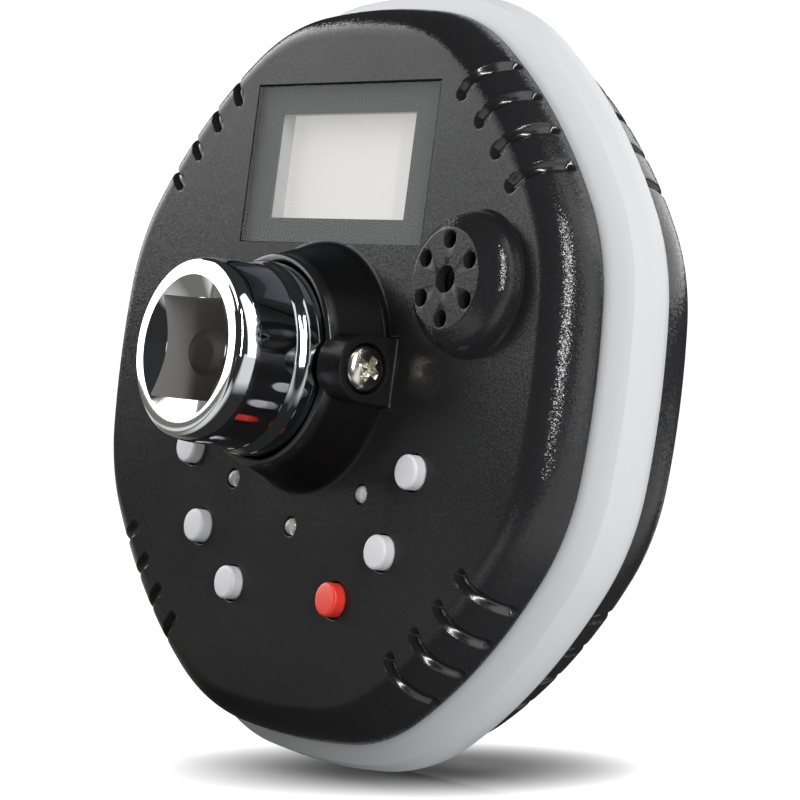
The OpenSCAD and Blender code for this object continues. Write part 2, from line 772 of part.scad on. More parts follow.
// Flat cable from the upper gauge over the board's edge to its back
ribbon_w = 4;
ribbon_t = 0.3;
ribbon_z = 18;
module sensor_ribbon() {
    low = sensing_flats / 2 + gauge_t;
    y0 = gauge_y + gauge_len / 2;
    y1 = gauge_y + gauge_len;
    tab = board_back_y;
    color([0.85, 0.55, 0.15]) translate([-ribbon_w / 2, 0, 0]) rotate([90, 0, 90])
        linear_extrude(ribbon_w) polygon([[y0, low], [y1, low], [y1, ribbon_z + ribbon_t],
            [tab, ribbon_z + ribbon_t], [tab, ribbon_z - chip_t], [tab + ribbon_t, ribbon_z - chip_t],
            [tab + ribbon_t, ribbon_z], [y1 - ribbon_t, ribbon_z], [y1 - ribbon_t, low + ribbon_t],
            [y0, low + ribbon_t]]);
}

// Buttons, each with its plunger and switch

button_places = [[upper_x, upper_z], [middle_x, middle_z], [lower_x, lower_z],
                 [-lower_x, lower_z], [-middle_x, middle_z], [-upper_x, upper_z]];
flange_d = 6.4;
flange_t = 0.8;
flange_play = 0.2;
stem_d = 3;
switch_w = 4.6;
switch_t = 2;
switch_bore_d = 2.3;
switch_bore = 1.4;
plunger_d = 1.9;
plunger_in = 0.6;
stem_gap = 1;
stem_y = board_y - switch_t - stem_gap;
button_round = 0.5;

module button_at(place, paint) {
    front = face_y - button_proud;
    r = button_d / 2;
    flange = face_y + shell_wall + flange_play;
    color(paint) translate([place[0], 0, place[1]])
        turned(concat([[0, front]],
            [for (k = [0:4]) let (a = 22.5 * k)
                [r - button_round * (1 - sin(a)), front + button_round * (1 - cos(a))]],
            [[r, flange], [flange_d / 2, flange], [flange_d / 2, flange + flange_t],
             [stem_d / 2, flange + flange_t], [stem_d / 2, stem_y], [0, stem_y]]));
}

module plunger_at(place) {
    color([0.2, 0.2, 0.2]) rod(stem_y, board_y - switch_t + plunger_in, plunger_d, place[0], place[1]);
}

module switch_at(place) {
    color([0.25, 0.25, 0.27]) difference() {
        plate(board_y - switch_t, board_y) translate(place) square(switch_w, center = true);
        rod(board_y - switch_t - over, board_y - switch_t + switch_bore, switch_bore_d, place[0], place[1]);
    }
}

// Clear indicator light, from the board up through the face
light_foot_d = 3.2;
light_foot_t = 1;
module light_at(k) {
    y0 = face_y - light_proud + light_d / 2;
    color([0.85, 0.87, 0.88, 0.6]) translate([light_r * sin(k * light_turn), 0, -light_r * cos(k * light_turn)]) {
        translate([0, y0, 0]) rotate([-90, 0, 0]) sphere(d = light_d);
        rod(y0, board_y, light_d);
        rod(board_y - light_foot_t, board_y, light_foot_d);
    }
}

module buzzer() {
    color([0.1, 0.1, 0.1]) difference() {
        rod(face_y - dome_reach + dome_wall + buzzer_play, board_y, buzzer_d, dome_x, dome_z);
        rod(face_y - dome_reach, face_y, sound_hole_d, dome_x, dome_z);
    }
}

// Batteries

knob_d = 3.8;
knob_len = 1;

// Cell along X whose knob points to the side
module battery_at(z, side) {
    color([0.25, 0.35, 0.55]) mirror([side < 0 ? 1 : 0, 0, 0]) {
        cross_rod(-cell_len / 2, cell_len / 2 - knob_len, cell_d, cell_y, z);
        cross_rod(cell_len / 2 - knob_len - over, cell_len / 2, knob_d, cell_y, z);
    }
}

contact_t = 0.3;
contact_w = 8;
contact_play = 0.1;
bump_d = 5;

// Spring plate at one end of the tray, with a bump for each cell
module battery_contact(side) {
    outer = tray_half_w - contact_play;
    color("silver") mirror([side < 0 ? 1 : 0, 0, 0]) {
        block([outer - contact_t, cell_y - contact_w / 2, lower_cell_z - cell_d / 2],
              [outer, cell_y + contact_w / 2, upper_cell_z + cell_d / 2]);
        for (z = [lower_cell_z, upper_cell_z])
            cross_rod(cell_len / 2 + contact_play, outer - contact_t / 2, bump_d, cell_y, z);
    }
}

cover_rib = 1;
cover_rib_deep = 0.3;
notch_w = 12;
notch_deep = 0.6;

// Battery cover with a finger notch
module battery_cover() {
    color(black) difference() {
        plate(back_y - cover_t, back_y) cover_outline(0);
        for (k = [0:2])
            block([-notch_w / 2, back_y - notch_deep, tray_bottom + cover_lap + 2 * k * cover_rib],
                [notch_w / 2, back_y + over, tray_bottom + cover_lap + (2 * k + 1) * cover_rib]);
    }
}

// Screws

case_head_t = 1.8;
case_screw_len = 12.6;
module case_screws() {
    color(chrome) at_posts()
        pan_screw(back_y - head_sink, case_screw_d, case_screw_len, case_head_d, case_head_t);
}

board_head_d = 3.8;
board_head_t = 1;
module board_screws() {
    color(chrome) at_board_posts()
        pan_screw(board_back_y, board_screw_d, board_t + board_screw_len, board_head_d, board_head_t);
}

front_shell();
rear_shell();
bumper_band();
drive_shaft();
detent_ball();
detent_spring();
strain_gauges();
retaining_ring();
hub_seal();
lug_screw();
display_lens();
display_mask();
display_holder();
display_panel();
backlight();
contact_strips();
main_board();
controller_chip();
sensor_ribbon();
button_at(button_places[0], button_white);  // button_upper_right
button_at(button_places[1], button_white);  // button_middle_right
button_at(button_places[2], power_red);  // button_power
button_at(button_places[3], button_white);  // button_lower_left
button_at(button_places[4], button_white);  // button_middle_left
button_at(button_places[5], button_white);  // button_upper_left
plunger_at(button_places[0]);  // plunger_upper_right
plunger_at(button_places[1]);  // plunger_middle_right
plunger_at(button_places[2]);  // plunger_power
plunger_at(button_places[3]);  // plunger_lower_left
plunger_at(button_places[4]);  // plunger_middle_left
plunger_at(button_places[5]);  // plunger_upper_left
switch_at(button_places[0]);  // switch_upper_right
switch_at(button_places[1]);  // switch_middle_right
switch_at(button_places[2]);  // switch_power
switch_at(button_places[3]);  // switch_lower_left
switch_at(button_places[4]);  // switch_middle_left
switch_at(button_places[5]);  // switch_upper_left
light_at(1);  // light_right
light_at(0);  // light_middle
light_at(-1);  // light_left
buzzer();
battery_at(upper_cell_z, 1);  // battery_upper
battery_at(lower_cell_z, -1);  // battery_lower
battery_contact(1);  // battery_contact_right
battery_contact(-1);  // battery_contact_left
battery_cover();
case_screws();
board_screws();
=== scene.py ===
import math
from math import cos, hypot, radians, sin

import bmesh
import bpy
from mathutils import Matrix, Vector


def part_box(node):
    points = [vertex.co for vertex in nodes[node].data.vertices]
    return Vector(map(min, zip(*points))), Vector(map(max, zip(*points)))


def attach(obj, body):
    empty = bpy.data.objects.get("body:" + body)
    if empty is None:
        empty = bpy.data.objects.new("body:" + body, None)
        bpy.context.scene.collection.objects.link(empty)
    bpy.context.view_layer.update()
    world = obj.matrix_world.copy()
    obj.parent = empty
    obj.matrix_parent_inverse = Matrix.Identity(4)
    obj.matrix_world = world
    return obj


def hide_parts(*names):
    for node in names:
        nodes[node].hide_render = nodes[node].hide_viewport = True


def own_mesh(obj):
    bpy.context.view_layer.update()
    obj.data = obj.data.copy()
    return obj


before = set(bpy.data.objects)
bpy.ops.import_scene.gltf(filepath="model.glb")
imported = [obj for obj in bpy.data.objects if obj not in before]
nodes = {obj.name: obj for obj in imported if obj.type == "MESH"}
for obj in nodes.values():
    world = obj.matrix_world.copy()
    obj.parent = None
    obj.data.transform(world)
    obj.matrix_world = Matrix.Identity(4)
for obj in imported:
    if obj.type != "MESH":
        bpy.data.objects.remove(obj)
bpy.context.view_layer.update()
MM = 0.001

# -------- sizes of the pieces that show

# Shells: an octagon of arcs for flats, corners and flanks, with a rounded edge and a lap for the band
FACE_Y, DEPTH = 19.8, 23.6
BACK_Y, SEAM_Y = FACE_Y + DEPTH, FACE_Y + DEPTH / 2
SHELL_R = 47.75
FLAT_R, FLAT_TURN = 100.0, 6.0
CORNER_R, CORNER_TURN = 27.5, 33.5
EDGE_OVER, EDGE_BACK, EDGE_TURN, EDGE_STEPS = 4.5, 6.8, 84, 29
LAP_IN, LAP_WALL, LAP_GAP = 2.0, 1.8, 0.3
WALL = 2.2
COLUMN_TURN, FINE_TURN = 1.5, 0.16
SUNK = 0.6
POSTS = [(x * 28.0, z * 28.0) for x in (-1, 1) for z in (-1, 1)]

# Grip grooves: slimmer on the rounded edge, with a round tip on the face and closed at the band
GROOVES, GROOVE_PITCH = 4, 5.9
GROOVE_HALF, GROOVE_SLIM, GROOVE_DEEP = 1.05, 0.86, 0.8
SLIM_TO, SLIM_EASE = 3.5, 1.8
GROOVE_TIP, GROOVE_END = 5.55, 5.05

# Drive: mouth ring, barrel and shoulder in front, neck, journal and male square behind
SQUARE, SOCKET_HALF, SOCKET_END, DRIVE_END = 12.7, 6.45, 15.6, 60.2
MOUTH_R, MOUTH_OUT, MOUTH_BACK = 10.85, 0.9, 3.0
CONE_R, CONE_IN, CONE_Y, CONE_END = 9.06, 6.5, 0.1, 1.6
RECESS_Y, BALL_Y, BALL_HOLE_R = 8.1, 52.6, 2.48
BARREL_R, BARREL_Y = 11.75, 3.2
SHOULDER_R, SHOULDER_Y, SHOULDER_EASE, SHOULDER_END = 12.5, 8.45, 1.9, 22.5
NECK_R, NECK_END, JOURNAL_R, JOURNAL_END = 8.2, 38.4, 10.5, 44.6
SPRING_WIRE, SPRING_TURNS, SPRING_STEPS, SPRING_SIDES = 0.5, 4, 40, 12

# Hub with its screw lug, display window, buzzer dome
HUB_BORE_R, HUB_RIM_R, HUB_BASE_R, HUB_REACH = 12.75, 13.7, 15.8, 7.7
LUG_Y, LUG_R, LUG_END = FACE_Y - 4.5, 4.3, 17.6
LUG_SEAT_R, LUG_SEAT, LUG_HOLE_R = 3.2, 1.4, 1.7
LENS_W, LENS_H, LENS_T, LENS_Z = 38.6, 20.8, 1.0, 26.6
LENS_SINK, LENS_ROOM, LENS_LEAN = 0.1, 0.3, 0.11
WINDOW_X, WINDOW_Z, WINDOW_AT = 16.25, 8.9, 26.3
DOME_AT, DOME_REACH = (30.8, 11.6), 4.6
DOME_TOP_R, DOME_BASE_R, DOME_HOLLOW_R, DOME_RING = 6.4, 9.5, 6.4, 4.85

# Buttons and indicator lights
BUTTON_R, BUTTON_PROUD, BUTTON_SOFT = 2.175, 1.5, 0.42
BUTTONS = {
    "upper_right": (23.8, -12.0), "middle_right": (19.7, -22.3), "power": (11.1, -29.1),
    "lower_left": (-11.1, -29.1), "middle_left": (-19.7, -22.3), "upper_left": (-23.8, -12.0),
}
LIGHT_R, LIGHT_RING, LIGHT_TURN, LIGHT_PROUD = 1.15, 20.7, 41.7, 0.5
LIGHTS = {which: (LIGHT_RING * sin(turn), -LIGHT_RING * cos(turn))
          for which, turn in (("right", radians(LIGHT_TURN)), ("middle", 0.0),
                              ("left", -radians(LIGHT_TURN)))}

# Battery tray and cover
TRAY_W, TRAY_TOP, TRAY_BOTTOM, TRAY_FLOOR, TRAY_WALL = 23.3, -14.0, -36.2, 30.5, 1.4
COVER_T, COVER_LAP = 1.6, 1.0

# Band: rows of (y, inset) over its outer side, and its wall behind the lap
BAND_ROWS = [(7.3, 1.2), (7.34, 0.7), (7.5, 0.25), (7.85, -0.42), (8.7, -1.55), (9.35, -2.24),
             (9.6, -2.42), (10.3, -2.58), (11.4, -2.86), (12.5, -3.03), (14.3, -2.66), (15.5, -1.78),
             (16.3, -1.1), (16.55, -0.72), (16.58, -0.3)]
BAND_INNER, BAND_STEPS = 1.8, 288


# -------- the shells' outline

def heading(turn):
    """Direction in X and Z at an angle from the top, clockwise as seen from the front."""
    return Vector((sin(radians(turn)), cos(radians(turn))))


FLAT_C = Vector((0, SHELL_R - FLAT_R))
CORNER_C = FLAT_C + (FLAT_R - CORNER_R) * heading(FLAT_TURN)
FLANK_SPAN = heading(CORNER_TURN)[1] - heading(CORNER_TURN)[0]
FLANK_R = CORNER_R + (CORNER_C[1] - CORNER_C[0]) / FLANK_SPAN
FLANK_C = CORNER_C + (CORNER_R - FLANK_R) * heading(CORNER_TURN)
ARCS = [(FLAT_C, FLAT_R, FLAT_TURN), (CORNER_C, CORNER_R, CORNER_TURN), (FLANK_C, FLANK_R, 45)]


def rim_point(turn, inset):
    """Point of the outline whose normal has that angle, moved in from the rim."""
    quarter = math.floor(turn / 90)
    rest = turn - 90 * quarter
    folded = rest if rest <= 45 else 90 - rest
    centre, radius, _ = next(arc for arc in ARCS if folded <= arc[2])
    p = centre + (radius - inset) * heading(folded)
    if rest > 45:
        p = Vector((p[1], p[0]))
    s, c = heading(90 * quarter)
    return Vector((p[0] * c + p[1] * s, p[1] * c - p[0] * s))


GROOVE_TURN = math.degrees(GROOVE_PITCH / FLANK_R)
GROOVE_ANGLES = [45 + 90 * q + (k - (GROOVES - 1) / 2) * GROOVE_TURN
                 for q in range(4) for k in range(GROOVES)]
GROOVE_FRAMES = [(rim_point(turn, 0), heading(turn)) for turn in GROOVE_ANGLES]


def column_angles():
    """Normal angles of the outline's columns: close together where the grooves lie."""
    angles = []
    for q in range(4):
        turn = 0.0
        while turn < 89.99:
            angles.append(90 * q + turn)
            near = abs(turn - 45) < GROOVES / 2 * GROOVE_TURN + 0.3
            turn += FINE_TURN if near else COLUMN_TURN
    return angles


COLUMNS = column_angles()


def groove_reach(x, z, back):
    """Distance from the nearest groove's middle line as a share of its half width."""
    nearest = 9.0
    for foot, out in GROOVE_FRAMES:
        dx, dz = x - foot[0], z - foot[1]
        aside = abs(dx * out[1] - dz * out[0])
        inset = -(dx * out[0] + dz * out[1])
        if aside > 1.6 or inset > 12:
            continue
        past = max(0.0, inset - GROOVE_TIP)
        beyond = max(0.0, back - GROOVE_END)
        half = GROOVE_SLIM + (GROOVE_HALF - GROOVE_SLIM) * min(1.0, max(0.0, (inset - SLIM_TO) / SLIM_EASE))
        nearest = min(nearest, math.sqrt(aside ** 2 + past ** 2 + beyond ** 2) / half)
    return nearest


def groove_depth(reach):
    """Depth across a groove: flat sloping walls and a rounded bottom."""
    t = 1.3 * (1 - reach)
    if t <= 0:
        return 0.0
    return GROOVE_DEEP * (t if t < 0.7 else 1 - (1.3 - t) ** 2 / 1.2)


# -------- mesh helpers

def add_object(name, data):
    obj = bpy.data.objects.new(name, data)
    bpy.context.scene.collection.objects.link(obj)
    return obj


def make_object(name, verts, faces, edges=()):
    """Object at the origin from points in millimetres."""
    mesh = bpy.data.meshes.new(name)
    mesh.from_pydata([Vector(v) * MM for v in verts], edges, faces)
    mesh.validate()
    return add_object(name, mesh)


def discard(obj):
    mesh = obj.data
    bpy.data.objects.remove(obj)
    bpy.data.meshes.remove(mesh)


def recalc(obj):
    """Points all faces outwards."""
    bm = bmesh.new()
    bm.from_mesh(obj.data)
    bmesh.ops.recalc_face_normals(bm, faces=bm.faces)
    bm.to_mesh(obj.data)
    bm.free()
    return obj


def skin(name, verts, n):
    """Closed body through rows of n points, with a flat cap at each end."""
    last = len(verts) - n
    faces = [(u + i, u + n + i, u + n + (i + 1) % n, u + (i + 1) % n)
             for u in range(0, last, n) for i in range(n)]
    faces += [tuple(range(n)), tuple(range(len(verts) - 1, last - 1, -1))]
    return recalc(make_object(name, verts, faces))


def lathe(name, profile, steps=96, at=(0.0, 0.0), turn=None, ring=False):
    """Body turned about Y through at, from (radius, y). It is filled to the axis unless it is a ring."""
    if not ring:
        first, last = profile[0], profile[-1]
        profile = [(0, first[1])] * (first[0] > 0) + profile + [(0, last[1])] * (last[0] > 0)
    verts, faces, rings = [], [], []
    for r, y in profile:
        if r == 0:
            rings.append([len(verts)])
            verts.append((at[0], y, at[1]))
        else:
            rings.append(list(range(len(verts), len(verts) + steps)))
            for i in range(steps):
                a = 2 * math.pi * i / steps
                verts.append((at[0] + r * sin(a), y, at[1] + r * cos(a)))
    for a, b in zip(rings, rings[1:] + rings[:1] if ring else rings[1:]):
        for i in range(steps):
            j = (i + 1) % steps
            if len(a) == 1:
                faces.append((a[0], b[i], b[j]))
            elif len(b) == 1:
                faces.append((a[i], b[0], a[j]))
            else:
                faces.append((a[i], b[i], b[j], a[j]))
    obj = recalc(make_object(name, verts, faces))
    if turn is not None:
        obj.data.transform(turn)
    return obj


def rod(name, r, y0, y1, steps, at=(0.0, 0.0), turn=None):
    return lathe(name, [(r, y0), (r, y1)], steps, at, turn)


def prism(name, outline, y0, y1, mouth=0.0):
    """Body of an outline in X and Z from y0 to y1, whose end at y0 widens by a chamfer."""
    middle = sum((Vector(p) for p in outline), Vector((0, 0))) / len(outline)
    rows = [(y0, mouth), (y0 + mouth, 0.0), (y1, 0.0)] if mouth else [(y0, 0.0), (y1, 0.0)]
    verts = []
    for y, grow in rows:
        for p in outline:
            d = Vector(p) - middle
            verts.append((p[0] + math.copysign(grow, d[0]), y, p[1] + math.copysign(grow, d[1])))
    return skin(name, verts, len(outline))


def rectangle(w, h, z, x=0.0):
    return [(x - w / 2, z - h / 2), (x + w / 2, z - h / 2), (x + w / 2, z + h / 2), (x - w / 2, z + h / 2)]


def rounded_box(w, top, low, r, steps):
    """Outline from -w to w and from low to top with rounded corners."""
    out = []
    for cx, cz, start in ((w - r, top - r, 0), (w - r, low + r, 90), (-w + r, low + r, 180), (-w + r, top - r, 270)):
        for k in range(steps + 1):
            d = heading(start + 90 * k / steps)
            out.append((cx + r * d[0], cz + r * d[1]))
    return out


def block(name, low, high):
    """Plain body between two corners."""
    outline = [(low[0], low[2]), (high[0], low[2]), (high[0], high[2]), (low[0], high[2])]
    return prism(name, outline, low[1], high[1])


def spin(degrees, axis):
    return Matrix.Rotation(radians(degrees), 4, axis)


def shift(x, y, z):
    return Matrix.Translation(Vector((x, y, z)) * MM)


def baked(obj):
    """Applies all modifiers and puts the result in the object."""
    graph = bpy.context.evaluated_depsgraph_get()
    mesh = bpy.data.meshes.new_from_object(obj.evaluated_get(graph), depsgraph=graph)
    obj.modifiers.clear()
    old = obj.data
    obj.data = mesh
    bpy.data.meshes.remove(old)
    return obj


def combine(base, others, operation):
    """Adds, cuts or keeps the overlap with other bodies, and deletes them."""
    for other in others:
        mod = base.modifiers.new("combine", "BOOLEAN")
        mod.operation, mod.solver, mod.object = operation, "MANIFOLD", other
        baked(base)
        discard(other)
    return base


def finish_mesh(obj, angle=32, bevel=0.0, segments=2, bevel_angle=40):
    """Merges doubles, rounds edges, and shades smooth up to an angle while flats stay flat."""
    weld = 0.002 * MM
    bm = bmesh.new()
    bm.from_mesh(obj.data)
    bmesh.ops.remove_doubles(bm, verts=bm.verts, dist=weld)
    bmesh.ops.dissolve_degenerate(bm, edges=bm.edges, dist=weld)
    bm.to_mesh(obj.data)
    bm.free()
    if bevel:
        mod = obj.modifiers.new("round", "BEVEL")
        mod.width, mod.segments = bevel * MM, segments
        mod.limit_method, mod.angle_limit = "ANGLE", radians(bevel_angle)
        mod.use_clamp_overlap = True
        baked(obj)
    obj.data.shade_smooth()
    obj.data.set_sharp_from_angle(angle=radians(angle))
    mod = obj.modifiers.new("flats", "WEIGHTED_NORMAL")
    mod.keep_sharp, mod.weight = True, 50
    return baked(obj)


def dress(obj, material, stands_for, body="housing"):
    """Gives a piece its material and body, and hides the node that it stands for."""
    obj.data.materials.clear()
    obj.data.materials.append(material)
    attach(obj, body)
    if stands_for:
        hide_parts(stands_for)
    return obj


# -------- node helpers and shared groups

def feed(tree, value, socket):
    """Joins an output to a socket, or sets the socket to a constant."""
    if isinstance(value, bpy.types.NodeSocket):
        tree.links.new(value, socket)
    else:
        socket.default_value = value


def feed_all(tree, node, values):
    for key, value in values.items():
        feed(tree, value, node.inputs[key])
    return node


def add_node(tree, kind, values=None, **settings):
    """Adds a node with its settings, and feeds its inputs."""
    node = tree.nodes.new(kind)
    for label, value in settings.items():
        setattr(node, label, value)
    return feed_all(tree, node, values or {})


def mix_shaders(tree, share, off, on):
    return add_node(tree, "ShaderNodeMixShader", {0: share, 1: off.outputs[0], 2: on.outputs[0]}).outputs[0]


def math_node(tree, operation, *values, clamp=False):
    return add_node(tree, "ShaderNodeMath", dict(enumerate(values)), operation=operation,
                    use_clamp=clamp).outputs[0]


def plus(tree, base, value, factor, clamp=False):
    """Base plus a share of a value."""
    return math_node(tree, "MULTIPLY_ADD", value, factor, base, clamp=clamp)


def vector_node(tree, operation, a, b=None):
    values = {0: a}
    if b is not None:
        values["Scale" if operation == "SCALE" else 1] = b
    node = add_node(tree, "ShaderNodeVectorMath", values, operation=operation)
    return node.outputs["Value" if operation == "LENGTH" else "Vector"]


def mix_colour(tree, share, a, b):
    return add_node(tree, "ShaderNodeMix", {"Factor": share, 6: a, 7: b}, data_type="RGBA").outputs[2]


def noise(tree, vector, scale, detail=2.0, roughness=0.5):
    return add_node(tree, "ShaderNodeTexNoise", {"Vector": vector, "Scale": scale, "Detail": detail,
                                                 "Roughness": roughness}).outputs["Fac"]


def spread(tree, value, low, high, to_low=0.0, to_high=1.0):
    """Ramp of a value between two bounds."""
    return add_node(tree, "ShaderNodeMapRange", {"Value": value, "From Min": low, "From Max": high,
                                                 "To Min": to_low, "To Max": to_high}).outputs[0]


def add_sockets(group, side, **kinds):
    """Adds a group's inputs or outputs, and returns the identifiers that a modifier sets them by."""
    return {label: group.interface.new_socket(name=label, in_out=side, socket_type="NodeSocket" + kind).identifier
            for label, kind in kinds.items()}


def new_group(name, outputs, **numbers):
    """Shader group that takes a Vector and some numbers."""
    group = bpy.data.node_groups.new(name, "ShaderNodeTree")
    add_sockets(group, "INPUT", Vector="Vector", **dict.fromkeys(numbers, "Float"))
    for label, value in numbers.items():
        group.interface.items_tree[label].default_value = value
    add_sockets(group, "OUTPUT", **outputs)
    return group, group.nodes.new("NodeGroupInput").outputs, group.nodes.new("NodeGroupOutput")


def make_grain_group():
    """Fine spark-eroded mould grain: a height and a mask of its high spots."""
    group, given, made = new_group("mould_grain", {"Height": "Float", "Peaks": "Float"}, Scale=2600.0)
    fine = noise(group, given["Vector"], given["Scale"], 1.0, 0.6)
    cell = add_node(group, "ShaderNodeTexVoronoi", {"Vector": given["Vector"], "Scale": given["Scale"]})
    height = plus(group, fine, cell.outputs["Distance"], -0.6)
    feed_all(group, made, {"Height": height, "Peaks": spread(group, fine, 0.58, 0.74)})
    return group


def make_wear_group():
    """Slow patches of handling shine and a faint haze of dust."""
    group, given, made = new_group("handling", {"Patches": "Float", "Dust": "Float"}, Scale=45.0)
    slow = noise(group, given["Vector"], given["Scale"], 3.0, 0.55)
    specks = noise(group, given["Vector"], math_node(group, "MULTIPLY", given["Scale"], 30.0))
    dust = math_node(group, "MULTIPLY", spread(group, specks, 0.62, 0.75), spread(group, slow, 0.45, 0.7))
    feed_all(group, made, {"Patches": spread(group, slow, 0.35, 0.65), "Dust": dust})
    return group


def make_scratch_group():
    """Fine turning lines round the drive axis and a slow haze."""
    group, given, made = new_group("polish_lines", {"Height": "Float", "Haze": "Float"}, Scale=900.0)
    stretch = add_node(group, "ShaderNodeMapping", {"Vector": given["Vector"], "Scale": (0.05, 1.0, 0.05)})
    haze = spread(group, noise(group, given["Vector"], 70.0, 3.0), 0.4, 0.7)
    feed_all(group, made, {"Height": noise(group, stretch.outputs["Vector"], given["Scale"]), "Haze": haze})
    return group


def make_facet_group():
    """Tiny facets of spark-eroded plastic: tips the surface a little, cell by cell."""
    group, given, made = new_group("mould_facets", {"Normal": "Vector"}, Scale=6000.0, Tip=0.2)
    cell = add_node(group, "ShaderNodeTexVoronoi", {"Vector": given["Vector"], "Scale": given["Scale"]})
    lean = vector_node(group, "SUBTRACT", cell.outputs["Color"], (0.5, 0.5, 0.5))
    lean = vector_node(group, "SCALE", lean, given["Tip"])
    surface = group.nodes.new("ShaderNodeNewGeometry").outputs["Normal"]
    leaning = vector_node(group, "ADD", lean, surface)
    feed_all(group, made, {"Normal": vector_node(group, "NORMALIZE", leaning)})
    return group


GRAIN, FACETS = make_grain_group(), make_facet_group()
HANDLING, POLISH = make_wear_group(), make_scratch_group()


def use_group(tree, group, vector, **values):
    return add_node(tree, "ShaderNodeGroup", {"Vector": vector, **values}, node_tree=group).outputs


def attribute(tree, name):
    return add_node(tree, "ShaderNodeAttribute", attribute_name=name).outputs["Fac"]


def path_is(tree, label):
    return tree.nodes.new("ShaderNodeLightPath").outputs[label]


def start_material(name, **sockets):
    """Material with a Principled shader whose even values are set on its own sockets."""
    mat = bpy.data.materials.new(name)
    mat.use_nodes = True
    tree = mat.node_tree
    shader = tree.nodes["Principled BSDF"]
    feed_all(tree, shader, {label.replace("_", " "): value for label, value in sockets.items()})
    return mat, tree, shader, tree.nodes.new("ShaderNodeTexCoord").outputs["Object"]


def add_bump(tree, shader, height, strength, distance, under=None):
    bump = add_node(tree, "ShaderNodeBump", {"Strength": strength, "Distance": distance, "Height": height})
    if under:
        feed_all(tree, bump, {"Normal": under})
    feed_all(tree, shader, {"Normal": bump.outputs["Normal"]})


# -------- materials

PATCH_SCALE, FACET_SCALE, LINE_SCALE, LENS_SCALE = 45.0, 8000.0, 900.0, 60.0


def moulded(name, colour, light, rough, grain_scale, bump, deep, peak_share=0.2, grooves=False, specular=0.5,
            facets=0.0, **sockets):
    """Moulded plastic with fine grain, handling shine and faint dust. With grooves it reads the values that
    mark_grooves stores: glossy in the grooves with colour painted darker as shade, matt and darker on the hub, and
    brighter facets on the rounded edge."""
    mat, tree, shader, coords = start_material(name, Specular_IOR_Level=specular, **sockets)
    grain = use_group(tree, GRAIN, coords, Scale=grain_scale)
    wear = use_group(tree, HANDLING, coords, Scale=PATCH_SCALE)
    height, peaks = grain["Height"], grain["Peaks"]
    dusted = plus(tree, math_node(tree, "MULTIPLY", peaks, peak_share), wear["Dust"], 0.12, clamp=True)
    colours = mix_colour(tree, dusted, (*colour, 1.0), (*light, 1.0))
    roughness = plus(tree, plus(tree, rough, wear["Patches"], -0.06), peaks, -0.1)
    tip, under = facets, None
    if grooves:
        inside, matt, on_edge = (attribute(tree, label) for label in ("groove", "matt", "edge"))
        plain = math_node(tree, "SUBTRACT", 1.0, inside, clamp=True)
        height = math_node(tree, "MULTIPLY", height, plain)
        tip = math_node(tree, "MULTIPLY", math_node(tree, "SUBTRACT", plain, matt, clamp=True),
                        spread(tree, on_edge, 0.0, 1.0, facets * 0.5, facets))
        roughness = plus(tree, plus(tree, roughness, on_edge, -0.08), matt, 0.12, clamp=True)
        # Painted shade: colour falls to 0.8 in the grooves, and partly on the hub's rim, which shares their value.
        # The hub and the lug fall to 0.35.
        for share, tone in ((inside, 0.8), (matt, 0.35)):
            colours = mix_colour(tree, share, colours, (*[c * tone for c in colour], 1.0))
        shine = plus(tree, plus(tree, plus(tree, specular, inside, 0.3), on_edge, 0.22), matt, -0.14)
        feed_all(tree, shader, {"Specular IOR Level": shine})
    if facets:
        under = use_group(tree, FACETS, coords, Scale=FACET_SCALE, Tip=tip)["Normal"]
    feed_all(tree, shader, {"Base Color": colours, "Roughness": roughness})
    add_bump(tree, shader, height, bump, deep, under)
    return mat


def polished(name, colour, rough=0.04, haze=0.05, bump=0.04):
    """Polished or plated metal with faint turning lines and a slight haze."""
    mat, tree, shader, coords = start_material(name, Metallic=1.0)
    lines = use_group(tree, POLISH, coords, Scale=LINE_SCALE)
    tone = mix_colour(tree, lines["Haze"], (*colour, 1.0), (*[c * 0.93 for c in colour], 1.0))
    feed_all(tree, shader, {"Base Color": tone, "Roughness": plus(tree, rough, lines["Haze"], haze)})
    add_bump(tree, shader, lines["Height"], bump, 0.00002)
    return mat


def clear(name, colour, rough, ior, frost=0.0, through=1.0, painted_reflection_colour=(0.9, 0.9, 0.9)):
    """Clear plastic that lets light through to what lies behind it. Seen in polished metal it passes a darker tint:
    painted shade on that reflection.
    """
    mat, tree, shader, coords = start_material(name, Transmission_Weight=through, IOR=ior,
                                               Base_Color=(*colour, 1.0))
    dust = use_group(tree, HANDLING, coords, Scale=LENS_SCALE)["Dust"]
    feed_all(tree, shader, {"Roughness": plus(tree, rough, dust, 0.01 + frost)})
    bounced = math_node(tree, "SUBTRACT", path_is(tree, "Is Glossy Ray"), path_is(tree, "Is Transmission Ray"),
                        clamp=True)
    veil = add_node(tree, "ShaderNodeBsdfTransparent",
                    {"Color": mix_colour(tree, bounced, (*colour, 1.0), (*painted_reflection_colour, 1.0))})
    passing = math_node(tree, "MAXIMUM", path_is(tree, "Is Shadow Ray"), path_is(tree, "Is Diffuse Ray"))
    passing = math_node(tree, "MAXIMUM", passing, bounced)
    feed_all(tree, tree.nodes["Material Output"], {"Surface": mix_shaders(tree, passing, shader, veil)})
    return mat


